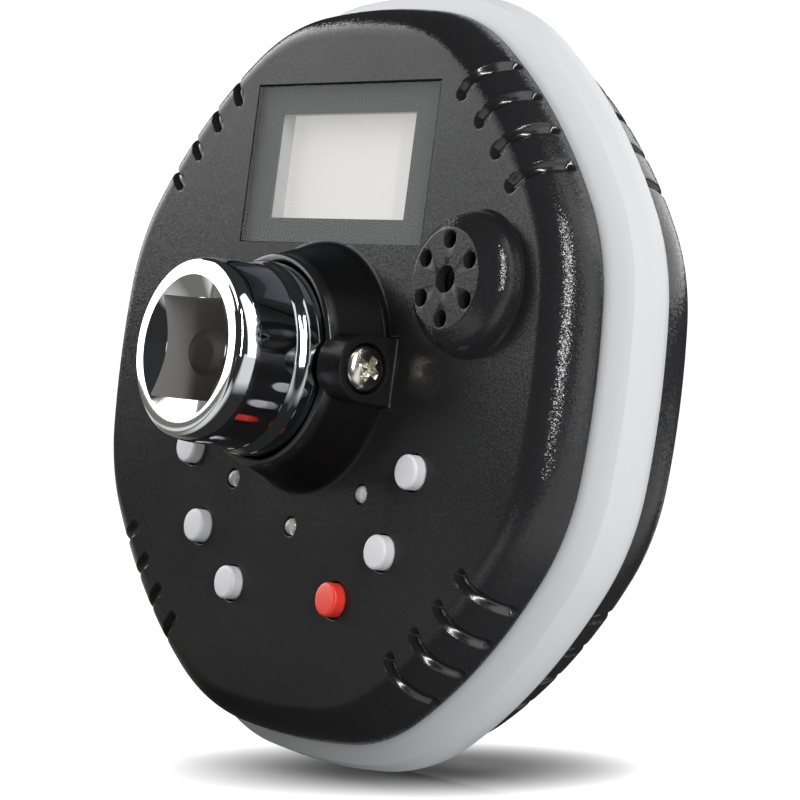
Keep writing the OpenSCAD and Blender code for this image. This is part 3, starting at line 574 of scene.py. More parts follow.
BLACK, BLACK_PEAKS = (0.016, 0.016, 0.017), (0.030, 0.030, 0.031)
SHELL_BLACK = moulded("shell_black", BLACK, BLACK_PEAKS, 0.27, 3100.0, 0.15, 0.00005, 0.5, grooves=True,
                      facets=0.17, specular=0.22)
COVER_BLACK = moulded("cover_black", BLACK, BLACK_PEAKS, 0.28, 3100.0, 0.15, 0.00005, 0.5, facets=0.17,
                      specular=0.22)
BAND_GREY = moulded("band_grey", (0.495, 0.508, 0.518), (0.545, 0.558, 0.568), 0.55, 1800.0, 0.10, 0.00004,
                    0.25, specular=0.35)
BUTTON_WHITE = moulded("button_white", (0.67, 0.67, 0.705), (0.70, 0.70, 0.73), 0.38, 2200.0, 0.08, 0.00003)
BUTTON_RED = moulded("button_red", (0.78, 0.045, 0.028), (0.83, 0.08, 0.06), 0.36, 2200.0, 0.08, 0.00003)
CHROME = polished("drive_chrome", (0.80, 0.805, 0.815))
BARREL = polished("drive_barrel", (0.56, 0.57, 0.585), 0.05)
SCREW = polished("screw_plated", (0.92, 0.89, 0.80), 0.16, 0.12, 0.15)
STEEL = polished("spring_steel", (0.56, 0.57, 0.58), 0.25, 0.15, 0.1)
GLOW_CUP = polished("light_cup", (0.70, 0.68, 0.62), 0.3, 0.1, 0.1)
# The lens's darker tint in reflections is painted shade: it dims the display where the drive mirrors it.
LENS = clear("lens_clear", (0.97, 0.975, 0.975), 0.0, 1.2, painted_reflection_colour=(0.44, 0.465, 0.50))
LIGHT_CLEAR = clear("light_clear", (0.90, 0.87, 0.87), 0.05, 1.45, 0.05, 0.6)
SATIN = moulded("socket_satin", (0.36, 0.355, 0.34), (0.42, 0.415, 0.40), 0.42, 900.0, 0.03, 0.00001, 0.3,
                Metallic=0.55)


# -------- shells

def shell_rows():
    """Rows of (y from the face, inset) round a shell's wall, from the outer face to the inner one."""
    rows = [(0.0, 9.0 - 0.6 * k) for k in range(3)] + [(0.0, 7.0 - 0.2 * k) for k in range(13)]
    for k in range(EDGE_STEPS + 1):
        a = radians(EDGE_TURN * k / EDGE_STEPS)
        rows.append((EDGE_BACK * (1 - cos(a)), EDGE_OVER * (1 - sin(a))))
    rows += [(EDGE_BACK - 0.35, 0.0), (EDGE_BACK - 0.12, 0.04), (EDGE_BACK - 0.02, 0.16), (EDGE_BACK, 0.32)]
    rows += [(EDGE_BACK, 1.3), (EDGE_BACK, LAP_IN)]
    lap_end = (DEPTH - LAP_GAP) / 2
    inner = LAP_IN + LAP_WALL
    return rows + [(lap_end, LAP_IN), (lap_end, inner), (WALL + 2.4, inner), (WALL + 1.2, inner + 0.45),
                   (WALL + 0.35, inner + 1.3), (WALL, inner + 2.4)]


def shell_body(name, front):
    """Hollow shell half with its grip grooves pressed in."""
    rows = shell_rows()
    last_outer = next(k for k, row in enumerate(rows) if row[0] == EDGE_BACK and row[1] > 0.3)
    near = [min(abs(turn - g) for g in GROOVE_ANGLES) < GROOVE_TURN / 2 for turn in COLUMNS]
    verts = []
    for k, (y, inset) in enumerate(rows):
        grooved = 0 < k <= last_outer and inset < GROOVE_TIP + GROOVE_HALF
        if grooved:
            (y0, i0), (y1, i1) = rows[k - 1], rows[min(k + 1, last_outer)]
            length = hypot(y1 - y0, i1 - i0)
            back, inward = (i0 - i1) / length, (y1 - y0) / length
        for c, turn in enumerate(COLUMNS):
            at_y, p = y, rim_point(turn, inset)
            if near[c] and grooved:
                deep = groove_depth(groove_reach(p[0], p[1], y))
                at_y = y + deep * back
                p = rim_point(turn, inset + deep * inward)
            verts.append((p[0], FACE_Y + at_y if front else BACK_Y - at_y, p[1]))
    return skin(name, verts, len(COLUMNS))


def mark_grooves(obj, front):
    """Stores for each point how far it lies in a groove or on the hub's rim, where the hub and the lug are
    matt, and where the surface leaves the flat face."""
    values = {"groove": [], "matt": [], "edge": []}
    for v in obj.data.vertices:
        x, y, z = (c / MM for c in v.co)
        back = y - FACE_Y if front else BACK_Y - y
        radius = hypot(x, z)
        glossy, dull = 0.0, 0.0
        if -0.2 < back < EDGE_BACK + 0.2 and radius > 38:
            glossy = min(1.0, max(0.0, (1 - groove_reach(x, z, back)) * 6))
        if front and back < 0.8 - HUB_REACH and radius < HUB_RIM_R + 0.5:
            glossy = 0.7
        elif front and back < -0.05 and radius < HUB_BASE_R + 1.2:
            dull = 1.0
        elif front and back < -0.05 and 0 < x < LUG_END + 1 and abs(z) < LUG_R + 1:
            dull = 0.6
        slope = min(1.0, (1.0 - abs(v.normal.y)) / 0.1)
        if front and abs(back + DOME_REACH) < 0.05:
            slope = 0.0
        values["groove"].append(glossy)
        values["matt"].append(dull)
        values["edge"].append(min(1.0, abs(back) / 0.3) * slope * (1.0 - dull))
    for name, column in values.items():
        obj.data.attributes.new(name, "FLOAT", "POINT").data.foreach_set("value", column)


def rounded_mouth(r, y_face, deep, lip=0.2):
    """Profile of a round cutter from in front of the face, whose mouth is rounded."""
    return [(r + lip, y_face - 1), (r + lip, y_face), (r + lip * 0.45, y_face + lip * 0.2),
            (r + lip * 0.1, y_face + lip * 0.55), (r, y_face + lip), (r, y_face + deep)]


def arc_points(centre, radius, start, end, steps):
    """Points of (radius, y) along an arc, with angles from the axis of -Y towards outwards."""
    angles = [radians(start + (end - start) * k / steps) for k in range(steps + 1)]
    return [(centre[0] + radius * sin(a), centre[1] - radius * cos(a)) for a in angles]


def hub_profile(rim, fillet=1.0):
    """Hub with an eased rim, slightly tapered wall and a fillet onto the face."""
    foot = HUB_BASE_R + fillet
    return (arc_points((HUB_RIM_R - 0.55, rim + 0.55), 0.55, 0, 84, 5) + [(HUB_RIM_R + 0.25, rim + 1.6)]
            + arc_points((foot, FACE_Y - fillet), fillet, -90, -180, 6) + [(foot, FACE_Y + SUNK)])


def dome_profile(top):
    """Buzzer dome: flat top with an eased rim, and a bulging side."""
    foot = DOME_BASE_R - 0.2
    return (arc_points((DOME_TOP_R - 0.3, top + 0.5), 0.5, 0, 40, 4)
            + arc_points((DOME_TOP_R - 0.71, top + 3.68), 3.2, 40, 82, 10)
            + [(foot - 0.3, FACE_Y - 0.3), (foot, FACE_Y), (foot, FACE_Y + SUNK)])


def build_front_shell():
    """Front shell in one moulding with hub, screw lug, buzzer dome and posts."""
    shell = shell_body("shell_front", True)
    rim, top, inside = FACE_Y - HUB_REACH, FACE_Y - DOME_REACH, FACE_Y + 4
    adds = [lathe("hub", hub_profile(rim), 160), lug_body(), lug_foot(),
            lathe("dome", dome_profile(top), 96, DOME_AT)]
    adds += [rod("post", 2.8, FACE_Y + 1.7, SEAM_Y - 0.15, 24, at) for at in POSTS]
    combine(shell, adds, "UNION")
    seat_r, seat_y = LUG_SEAT_R, -LUG_END
    cuts = [lathe("cut", [(HUB_BORE_R + 0.3, rim - 6), (HUB_BORE_R + 0.3, rim), (HUB_BORE_R, rim + 0.3),
                          (HUB_BORE_R, inside)], 160),
            lathe("cut", [(seat_r + 0.25, seat_y - 1), (seat_r + 0.25, seat_y), (seat_r + 0.06, seat_y + 0.07),
                          (seat_r, seat_y + 0.25), (seat_r, seat_y + LUG_SEAT), (LUG_HOLE_R, seat_y + LUG_SEAT),
                          (LUG_HOLE_R, -5)], 64, turn=shift(0, LUG_Y, 0) @ spin(90, "Z")),
            prism("cut", rectangle(LENS_W + LENS_ROOM, LENS_H + LENS_ROOM, LENS_Z), FACE_Y - 0.05,
                  FACE_Y + 1.35, 0.06),
            block("cut", (-WINDOW_X, FACE_Y + 1, WINDOW_AT - WINDOW_Z), (WINDOW_X, inside, WINDOW_AT + WINDOW_Z))]
    cuts += [lathe("cut", rounded_mouth(BUTTON_R + 0.25, FACE_Y, 3.5), 48, at) for at in BUTTONS.values()]
    cuts += [lathe("cut", rounded_mouth(LIGHT_R + 0.15, FACE_Y, 3.5, 0.15), 40, at) for at in LIGHTS.values()]
    cuts.append(rod("cut", DOME_HOLLOW_R, FACE_Y - 3.2, inside, 64, DOME_AT))
    cuts.append(lathe("cut", rounded_mouth(1.65, top, 2.5, 0.18), 40, DOME_AT))
    for k in range(6):
        a = radians(60 * k)
        at = (DOME_AT[0] + DOME_RING * sin(a), DOME_AT[1] + DOME_RING * cos(a))
        cuts.append(lathe("cut", rounded_mouth(1.05, top, 2.5, 0.15), 32, at))
    cuts += [rod("cut", 1.3, FACE_Y + 6.4, SEAM_Y + 1, 24, at) for at in POSTS]
    combine(shell, cuts, "DIFFERENCE")
    finish_mesh(shell)
    mark_grooves(shell, True)
    return dress(shell, SHELL_BLACK, "front_shell")


def lug_foot(rows=7, r=0.55):
    """Fillet at the foot of the lug, where it runs out on the face."""
    verts = []
    for k in range(rows):
        a = radians(90 * k / (rows - 1))
        grow, y = r * (1 - cos(a)), FACE_Y - r * (1 - sin(a))
        side, end = LUG_R + grow, LUG_END + grow
        verts += [(2, y, -side), (end, y, -side), (end, y, side), (2, y, side)]
    verts += [(x, FACE_Y + SUNK, z) for x, _, z in verts[-4:]]
    return skin("lug_foot", verts, 4)


def lug_body():
    """Screw lug at the hub's right: round in front, straight back to the face, with an eased end."""
    angles = [radians(90 + 180 * k / 24) for k in range(25)]
    outline = [(LUG_R * cos(a), LUG_R * sin(a)) for a in angles]
    foot = FACE_Y - LUG_Y + SUNK
    outline += [(foot, -LUG_R), (foot, LUG_R)]
    verts = []
    for x, ease in ((0.0, 0.0), (LUG_END - 0.35, 0.0), (LUG_END - 0.1, 0.1), (LUG_END, 0.35)):
        share = 1 - ease / LUG_R
        verts += [(x, LUG_Y + (y if y > 1 else y * share), z * share) for y, z in outline]
    return skin("lug", verts, len(outline))


def cover_outline(grow, r):
    side = COVER_LAP + grow
    return rounded_box(TRAY_W + side, TRAY_TOP + side, TRAY_BOTTOM - side, r, 6)


def build_rear_shell():
    """Rear shell with the journal's sleeve, battery tray and screw posts."""
    shell = shell_body("shell_rear", False)
    under = BACK_Y - 0.5
    adds = [rod("sleeve", 12.4, BACK_Y - 3.2, under, 96),
            block("tray", (-TRAY_W - TRAY_WALL, TRAY_FLOOR - TRAY_WALL, TRAY_BOTTOM - TRAY_WALL),
                  (TRAY_W + TRAY_WALL, under, TRAY_TOP + TRAY_WALL))]
    adds += [rod("post", 3.5, SEAM_Y + 0.15, under, 32, at) for at in POSTS]
    combine(shell, adds, "UNION")
    cuts = [lathe("cut", [(10.8, BACK_Y - 5), (10.8, BACK_Y - 0.3), (10.9, BACK_Y - 0.08), (11.1, BACK_Y),
                          (11.1, BACK_Y + 1)], 128),
            block("cut", (-TRAY_W, TRAY_FLOOR, TRAY_BOTTOM), (TRAY_W, BACK_Y + 1, TRAY_TOP)),
            prism("cut", cover_outline(0.2, 2.2), BACK_Y - COVER_T, BACK_Y + 1)]
    hole = [(1.35, SEAM_Y - 1), (1.35, BACK_Y - 3.2), (2.7, BACK_Y - 3.2), (2.7, BACK_Y - 0.25),
            (2.76, BACK_Y - 0.07), (2.95, BACK_Y), (2.95, BACK_Y + 1)]
    cuts += [lathe("cut", hole, 48, at) for at in POSTS]
    combine(shell, cuts, "DIFFERENCE")
    finish_mesh(shell)
    mark_grooves(shell, False)
    return dress(shell, SHELL_BLACK, "rear_shell")


def build_cover():
    """Battery cover with an eased rim and a finger grip of fine grooves."""
    cover = prism("cover_plate", cover_outline(0.0, 2.0), BACK_Y - COVER_T, BACK_Y)
    cuts = [block("cut", (-6, BACK_Y - 0.6, TRAY_BOTTOM + 1 + 2 * k), (6, BACK_Y + 1, TRAY_BOTTOM + 2 + 2 * k))
            for k in range(3)]
    combine(cover, cuts, "DIFFERENCE")
    finish_mesh(cover, bevel=0.18, segments=3)
    return dress(cover, COVER_BLACK, "battery_cover", "cover")


# -------- band, by geometry nodes

def geometry_tree(name, **inputs):
    """Geometry group with named inputs."""
    group = bpy.data.node_groups.new(name, "GeometryNodeTree")
    ids = add_sockets(group, "INPUT", Geometry="Geometry", **inputs)
    add_sockets(group, "OUTPUT", Geometry="Geometry")
    return group, group.nodes.new("NodeGroupInput").outputs, ids


def run_tree(obj, group, ids, values):
    """Runs a geometry tree on an object and keeps the result as a plain mesh."""
    mod = obj.modifiers.new(group.name, "NODES")
    mod.node_group = group
    for label, value in values.items():
        mod[ids[label]] = value
    bpy.context.view_layer.update()
    return baked(obj)


def end_tree(group, geometry, material):
    """Realizes what a tree made and sets its material."""
    real = add_node(group, "GeometryNodeRealizeInstances", {0: geometry})
    paint = add_node(group, "GeometryNodeSetMaterial", {"Geometry": real.outputs[0], "Material": material})
    feed_all(group, group.nodes.new("NodeGroupOutput"), {0: paint.outputs[0]})


def loop_object(name, points):
    """Closed loop of edges through points in millimetres."""
    n = len(points)
    return make_object(name, points, [], [(i, (i + 1) % n) for i in range(n)])


def smooth_profile(points, steps=6):
    """Run of points through given ones, rounded by a Catmull-Rom curve."""
    out = []
    n = len(points)
    for i in range(n - 1):
        p0, p1, p2, p3 = (Vector(points[max(0, min(n - 1, i + d))]) for d in (-1, 0, 1, 2))
        for k in range(steps):
            t = k / steps
            out.append(0.5 * ((2 * p1) + (p2 - p0) * t + (2 * p0 - 5 * p1 + 4 * p2 - p3) * t * t
                              + (3 * p1 - p0 - 3 * p2 + p3) * t ** 3))
    out.append(Vector(points[-1]))
    return out


def band_tree():
    """Sweeps a closed profile round a closed outline: one column for each point of the outline."""
    group, given, ids = geometry_tree("band_sweep", Outline="Object", Profile="Object", Columns="Int", Rows="Int",
                                      Material="Material")
    columns, rows = given["Columns"], given["Rows"]
    here = group.nodes.new("GeometryNodeInputPosition").outputs[0]

    def number(operation, *values):
        return math_node(group, operation, *values)

    def vector(operation, *values):
        return vector_node(group, operation, *values)

    def point_of(label, index):
        info = add_node(group, "GeometryNodeObjectInfo", {"Object": given[label]})
        return add_node(group, "GeometryNodeSampleIndex", {
            "Geometry": info.outputs["Geometry"], "Value": here, "Index": index},
            data_type="FLOAT_VECTOR").outputs[0]

    tall = number("ADD", rows, 1)
    grid = add_node(group, "GeometryNodeMeshGrid", {"Vertices X": number("ADD", columns, 1), "Vertices Y": tall})
    index = group.nodes.new("GeometryNodeInputIndex").outputs[0]
    column = number("FLOOR", number("DIVIDE", number("ADD", index, 0.5), tall))
    row = number("MODULO", number("SUBTRACT", index, number("MULTIPLY", column, tall)), rows)
    around = [number("MODULO", number("ADD", number("ADD", column, columns), step), columns)
              for step in (-1, 0, 1)]
    before, at, after = (point_of("Outline", i) for i in around)
    tangent = vector("NORMALIZE", vector("SUBTRACT", after, before))
    outward = vector("CROSS_PRODUCT", (0.0, -1.0, 0.0), tangent)
    shape = add_node(group, "ShaderNodeSeparateXYZ", {0: point_of("Profile", row)}).outputs
    back = vector("SCALE", (0.0, 1.0, 0.0), shape["X"])
    out = vector("SCALE", outward, shape["Y"])
    place = add_node(group, "GeometryNodeSetPosition", {
        "Geometry": grid.outputs["Mesh"], "Position": vector("ADD", at, vector("ADD", back, out))})
    weld = add_node(group, "GeometryNodeMergeByDistance", {"Geometry": place.outputs[0], "Distance": 0.00001})
    end_tree(group, weld.outputs[0], given["Material"])
    return group, ids


def build_band():
    """Soft band: a front bevel, a low ridge and a rounded back, swept round the outline."""
    rows = [(y, -inset) for y, inset in smooth_profile(BAND_ROWS, 4)]
    rows += [(BAND_ROWS[-1][0], -BAND_INNER), (BAND_ROWS[0][0], -BAND_INNER)]
    profile = loop_object("band_profile", [(y, out, 0.0) for y, out in rows])
    rim = [rim_point(360 * i / BAND_STEPS, 0) for i in range(BAND_STEPS)]
    outline = loop_object("band_outline", [(p[0], FACE_Y, p[1]) for p in rim])
    band = make_object("band_soft", [(0, 0, 0)], [])
    group, ids = band_tree()
    run_tree(band, group, ids, {"Outline": outline, "Profile": profile, "Columns": BAND_STEPS,
                                "Rows": len(rows), "Material": BAND_GREY})
    discard(profile)
    discard(outline)
    recalc(band)
    finish_mesh(band, angle=50)
    return dress(band, BAND_GREY, "bumper_band")


# -------- drive and screws

def drive_profile():
    """Turned shape of the drive, without its squares."""
    profile = [(10.55, 0), (10.72, 0.05), (MOUTH_R, 0.18)]
    for k in range(1, 19):
        a = radians(5 * k)
        profile.append((MOUTH_R + MOUTH_OUT * sin(a), 0.2 + MOUTH_BACK * (1 - cos(a))))
    for k in range(13):
        t = k / 12
        profile.append((BARREL_R + (SHOULDER_R - BARREL_R) * (3 * t * t - 2 * t ** 3),
                        SHOULDER_Y + SHOULDER_EASE * t))
    return profile + [(SHOULDER_R, SHOULDER_END), (NECK_R, SHOULDER_END + 0.9), (NECK_R, NECK_END),
                      (JOURNAL_R, NECK_END), (JOURNAL_R, JOURNAL_END - 0.35), (10.4, JOURNAL_END - 0.1),
                      (10.15, JOURNAL_END)]


def build_drive():
    """Polished drive: turned body, square socket with a lead-in, and the square end."""
    drive = lathe("drive_polished", drive_profile(), 192)
    square = prism("square", rectangle(SQUARE, SQUARE, 0), 44.0, DRIVE_END)
    combine(square, [lathe("ends", [(8.5, 43), (8.5, DRIVE_END - 1.4), (7.1, DRIVE_END)], 96)], "INTERSECT")
    combine(drive, [square], "UNION")
    cuts = [prism("cut", rounded_box(SOCKET_HALF, SOCKET_HALF, -SOCKET_HALF, 0.35, 4), -1, SOCKET_END),
            lathe("cut", [(CONE_R + 0.96, -0.5), (CONE_R + 0.18, 0), (CONE_R, CONE_Y), (CONE_IN, CONE_END)],
                  160)]
    recess = [(0, 8.05), (1.9, 7.95), (2.7, 7.4), (3.1, 6.6)]
    recess = [(r, -y) for r, y in recess] + recess[::-1]
    for k in range(2):
        cuts.append(lathe("cut", recess, 48, turn=spin(90 * k, "Y") @ shift(0, RECESS_Y, 0) @ spin(90, "Z")))
    for k in range(4):
        flat = block("cut", (7.2, 24.3, -9), (9.5, 37.5, 9))
        flat.data.transform(spin(90 * k, "Y"))
        cuts.append(flat)
    cuts.append(rod("cut", LUG_HOLE_R, -14, -10.9, 32, turn=shift(0, LUG_Y, 0) @ spin(90, "Z")))
    for r0, r1, y0, y1 in ((11.3, 14, 17.83, 19.37), (9.6, 12, 39.0, 40.2)):
        cuts.append(lathe("cut", [(r0, y0), (r1, y0), (r1, y1), (r0, y1)], 128, ring=True))
    cuts.append(rod("cut", BALL_HOLE_R, -1.55, 7, 48, turn=shift(0, BALL_Y, 0) @ spin(90, "X")))
    combine(drive, cuts, "DIFFERENCE")
    finish_mesh(drive, angle=28)
    dress(drive, CHROME, "drive_shaft")
    drive.data.materials.append(SATIN)
    drive.data.materials.append(BARREL)
    for face in drive.data.polygons:
        x, y, z = (c / MM for c in face.center)
        if 0.9 < y < SOCKET_END + 0.2 and max(abs(x), abs(z)) < 8.2:
            cone_r = CONE_R - (CONE_R - CONE_IN) * (y - CONE_Y) / (CONE_END - CONE_Y)
            on_cone = y < CONE_END + 0.05 and abs(hypot(x, z) - cone_r) < 0.35
            face.material_index = 0 if on_cone else 1
        elif BARREL_Y < y < SHOULDER_END + 0.1:
            face.material_index = 2
    return drive


def build_spring():
    """Coil spring under the detent ball. The real spring shortens as the ball goes in; here it keeps its rest
    length.
    """
    low, high = (Vector(corner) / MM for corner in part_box("detent_spring"))
    middle = (low + high) / 2
    wire = SPRING_WIRE / 2
    radius = (high.x - low.x) / 2 - wire
    rise = high.z - low.z - SPRING_WIRE
    verts = []
    steps = SPRING_TURNS * SPRING_STEPS
    for k in range(steps + 1):
        a = math.tau * k / SPRING_STEPS
        for i in range(SPRING_SIDES):
            t = math.tau * i / SPRING_SIDES
            r = radius + wire * cos(t)
            z = low.z + wire + rise * k / steps + wire * sin(t)
            verts.append((middle.x + r * cos(a), middle.y + r * sin(a), z))
    spring = finish_mesh(skin("coil_spring", verts, SPRING_SIDES), angle=50)
    dress(spring, STEEL, "detent_spring")
    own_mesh(spring)


def screw_body(name, head_r, head_t, shank_r, shank_len, steps=48):
    """Pan head screw whose head sits on y = 0 and points to +Y, with a cross recess."""
    profile = [(0, head_t)]
    for k in range(1, 8):
        a = radians(90 * k / 7)
        profile.append((head_r * (0.18 + 0.82 * sin(a)), head_t * (0.35 + 0.65 * cos(a))))
    profile += [(head_r, 0), (shank_r, 0), (shank_r, -shank_len + shank_r), (shank_r * 0.4, -shank_len)]
    body = lathe(name, profile, steps)
    reach, half = head_r * 0.70, head_r * 0.17
    rows = ((head_t + 0.5, 1.0, 1.15), (head_t * 0.35, 0.45, 0.7))
    for k in range(2):
        verts = [(x * long, y, z * wide) for y, long, wide in rows
                 for x, z in ((-reach, -half), (reach, -half), (reach, half), (-reach, half))]
        slot = skin("cut", verts, 4)
        slot.data.transform(spin(45 + 90 * k, "Y"))
        combine(body, [slot], "DIFFERENCE")
    return body


def build_lug_screw():
    head_x = LUG_END - LUG_SEAT
    screw = screw_body("lug_screw_cross", 2.95, 2.0, 1.5, head_x - 11.2)
    screw.data.transform(shift(head_x, LUG_Y, 0) @ spin(-90, "Z") @ spin(18, "Y"))
    finish_mesh(screw, angle=30, bevel=0.05, segments=1, bevel_angle=50)
    return dress(screw, SCREW, "lug_screw")


def scatter_tree():
    """Puts copies of one body at points."""
    group, given, ids = geometry_tree("copies_at_points", Body="Object", Material="Material")
    info = add_node(group, "GeometryNodeObjectInfo", {"Object": given["Body"]})
    place = add_node(group, "GeometryNodeInstanceOnPoints", {"Points": given["Geometry"],
                                                             "Instance": info.outputs["Geometry"]})
    end_tree(group, place.outputs[0], given["Material"])
    return group, ids


SCATTER, SCATTER_IDS = scatter_tree()


def copies(name, body, points, node):
    spots = make_object(name, points, [])
    run_tree(spots, SCATTER, SCATTER_IDS, {"Body": body, "Material": SCREW})
    discard(body)
    return dress(spots, SCREW, node)


def build_screws():
    case = finish_mesh(screw_body("case_screw", 2.4, 1.8, 1.25, 12.6, 40), angle=30)
    copies("case_screw_set", case, [(x, BACK_Y - 3.2, z) for x, z in POSTS], "case_screws")
    small = finish_mesh(screw_body("board_screw", 1.9, 1.0, 1.0, 5.6, 32), angle=30)
    copies("board_screw_set", small, [(-34, 28.4, -6), (34, 28.4, -6), (0, 28.4, -40)], "board_screws")


# -------- buttons, lights and display

def build_button(which, at):
    """Button cap: slightly crowned top, soft rim, guide flange and stem."""
    front, r, soft = FACE_Y - BUTTON_PROUD, BUTTON_R, BUTTON_SOFT
    profile = [(0, front), (r * 0.35, front + 0.006)]
    profile += arc_points((r - soft, front + 0.04 + soft), soft, 0, 90, 8)
    profile += [(r, 22.2), (3.2, 22.2), (3.2, 23.0), (1.5, 23.0), (1.5, 23.8)]
    cap = finish_mesh(lathe("cap_" + which, profile, 64, at), angle=35)
    red = which == "power"
    return dress(cap, BUTTON_RED if red else BUTTON_WHITE, "button_" + which,
                 "button_" + which)


def build_light(which, at):
    """Clear lens with a small cup inside it."""
    top = FACE_Y - LIGHT_PROUD
    profile = arc_points((0, top + LIGHT_R), LIGHT_R, 0, 90, 9) + [(LIGHT_R, 25.8), (1.6, 25.8), (1.6, 26.8)]
    lens = finish_mesh(lathe("lens_" + which, profile, 48, at), angle=35)
    dress(lens, LIGHT_CLEAR, "light_" + which)
    cup = [(0, 1.9), (0.25, 1.85), (0.62, 1.35), (0.72, 1.35), (0.72, 2.6)]
    inner = finish_mesh(lathe("cup_" + which, [(r, top + y) for r, y in cup], 32, at), angle=35)
    return dress(inner, GLOW_CUP, None)


def build_lens():
    pane = prism("lens_pane", rectangle(LENS_W, LENS_H, LENS_Z - LENS_LEAN, -LENS_LEAN), FACE_Y + LENS_SINK,
                 FACE_Y + LENS_SINK + LENS_T)
    finish_mesh(pane, bevel=0.06, segments=3)
    return dress(pane, LENS, "display_lens")


# The CAD's own pieces that keep their shape: the material and the pieces that have it
INNER = [
    (moulded("lens_border", (0.054, 0.054, 0.050), (0.057, 0.057, 0.053), 0.5, 7000.0, 0.0, 0.00001),
     ["display_mask"]),
    (moulded("holder_grey", (0.40, 0.40, 0.39), (0.46, 0.46, 0.45), 0.5, 1500.0, 0.05, 0.00002),
     ["display_holder"]),
    # The panel glows a little: painted light that evens out the shade the window's edge casts on it.
    (moulded("panel_cream", (0.42, 0.40, 0.38), (0.45, 0.43, 0.41), 0.42, 900.0, 0.02, 0.00001, 0.3,
             Emission_Color=(1.0, 0.955, 0.92, 1), Emission_Strength=0.31), ["display_panel"]),
    (moulded("backlight_white", (0.85, 0.85, 0.82), (0.9, 0.9, 0.88), 0.4, 1200.0, 0.03, 0.00002),
     ["backlight"]),
    (moulded("strip_rubber", (0.18, 0.18, 0.20), (0.25, 0.25, 0.27), 0.7, 1800.0, 0.2, 0.00004, 0.3),
     ["contact_strips"]),
    (moulded("board_green", (0.015, 0.12, 0.045), (0.03, 0.18, 0.07), 0.32, 700.0, 0.05, 0.00002, 0.4),
     ["main_board"]),
    (moulded("chip_black", (0.02, 0.02, 0.021), (0.04, 0.04, 0.042), 0.55, 3000.0, 0.2, 0.00003, 0.3),
     ["controller_chip", "buzzer"] + ["switch_" + which for which in BUTTONS]),
    (moulded("ribbon_amber", (0.62, 0.27, 0.04), (0.70, 0.33, 0.06), 0.3, 900.0, 0.03, 0.00001, 0.3),
     ["sensor_ribbon"]),
    (moulded("gauge_foil", (0.66, 0.38, 0.10), (0.78, 0.52, 0.20), 0.3, 1100.0, 0.05, 0.00001, 0.6),
     ["strain_gauges"]),
    (moulded("seal_rubber", (0.015, 0.015, 0.015), (0.03, 0.03, 0.03), 0.6, 2400.0, 0.2, 0.00004, 0.3),
     ["hub_seal"]),
    (moulded("cell_sleeve", (0.07, 0.12, 0.30), (0.10, 0.16, 0.36), 0.28, 900.0, 0.03, 0.00001, 0.3),
     ["battery_upper", "battery_lower"]),
    (moulded("plunger_black", (0.03, 0.03, 0.03), (0.05, 0.05, 0.05), 0.45, 2400.0, 0.1, 0.00003, 0.3),
     ["plunger_" + which for which in BUTTONS]),
    (polished("blackened_steel", (0.22, 0.22, 0.23), 0.35, 0.15, 0.1), ["retaining_ring"]),
    (polished("ball_steel", (0.78, 0.785, 0.80), 0.08), ["detent_ball"]),
    (STEEL, ["battery_contact_right", "battery_contact_left"]),
]


def paint_frame_nodes():
    for material, names in INNER:
        for name in names:
            nodes[name].data.materials.clear()
            nodes[name].data.materials.append(material)


# -------- camera, floor, light

VIEW_TURN, VIEW_RISE, VIEW_ROLL = 51.716, -1.775, 7.374
VIEW_AT, VIEW_AWAY, VIEW_LENS = (19.30, FACE_Y, -3.228), 0.404046, 146.49
TABLE_Z, BACKDROP, ROOM_LIGHT = -0.05085, 1.1, 0.035
# The floor's painted shadow: centre, turn and size of the ellipse in which its glow fades.
SHADOW_AT, SHADOW_TURN, SHADOW_SIZE = (-0.0055, 0.0530, TABLE_Z), 30.5, (0.0205, 0.0760, 1.0)


def set_camera():
    """Camera of the photo: turned to the right, slightly low, and rolled."""
    az, el, roll = (radians(v) for v in (VIEW_TURN, VIEW_RISE, VIEW_ROLL))
    back = Vector((sin(az) * cos(el), -cos(az) * cos(el), sin(el)))
    right = (-back).cross(Vector((0, 0, 1))).normalized()
    up = right.cross(-back)
    x = cos(roll) * right + sin(roll) * up
    y = -sin(roll) * right + cos(roll) * up
    data = bpy.data.cameras.new("camera")
    data.lens, data.sensor_width = VIEW_LENS, 36
    data.clip_start, data.clip_end = 0.01, 50
    cam = add_object("camera", data)
    turn = Matrix((x, y, back)).transposed().to_4x4()
    cam.matrix_world = Matrix.Translation(Vector(VIEW_AT) * MM + back * VIEW_AWAY) @ turn
    bpy.context.scene.camera = cam


def grey(value):
    return (value, value, value, 1)


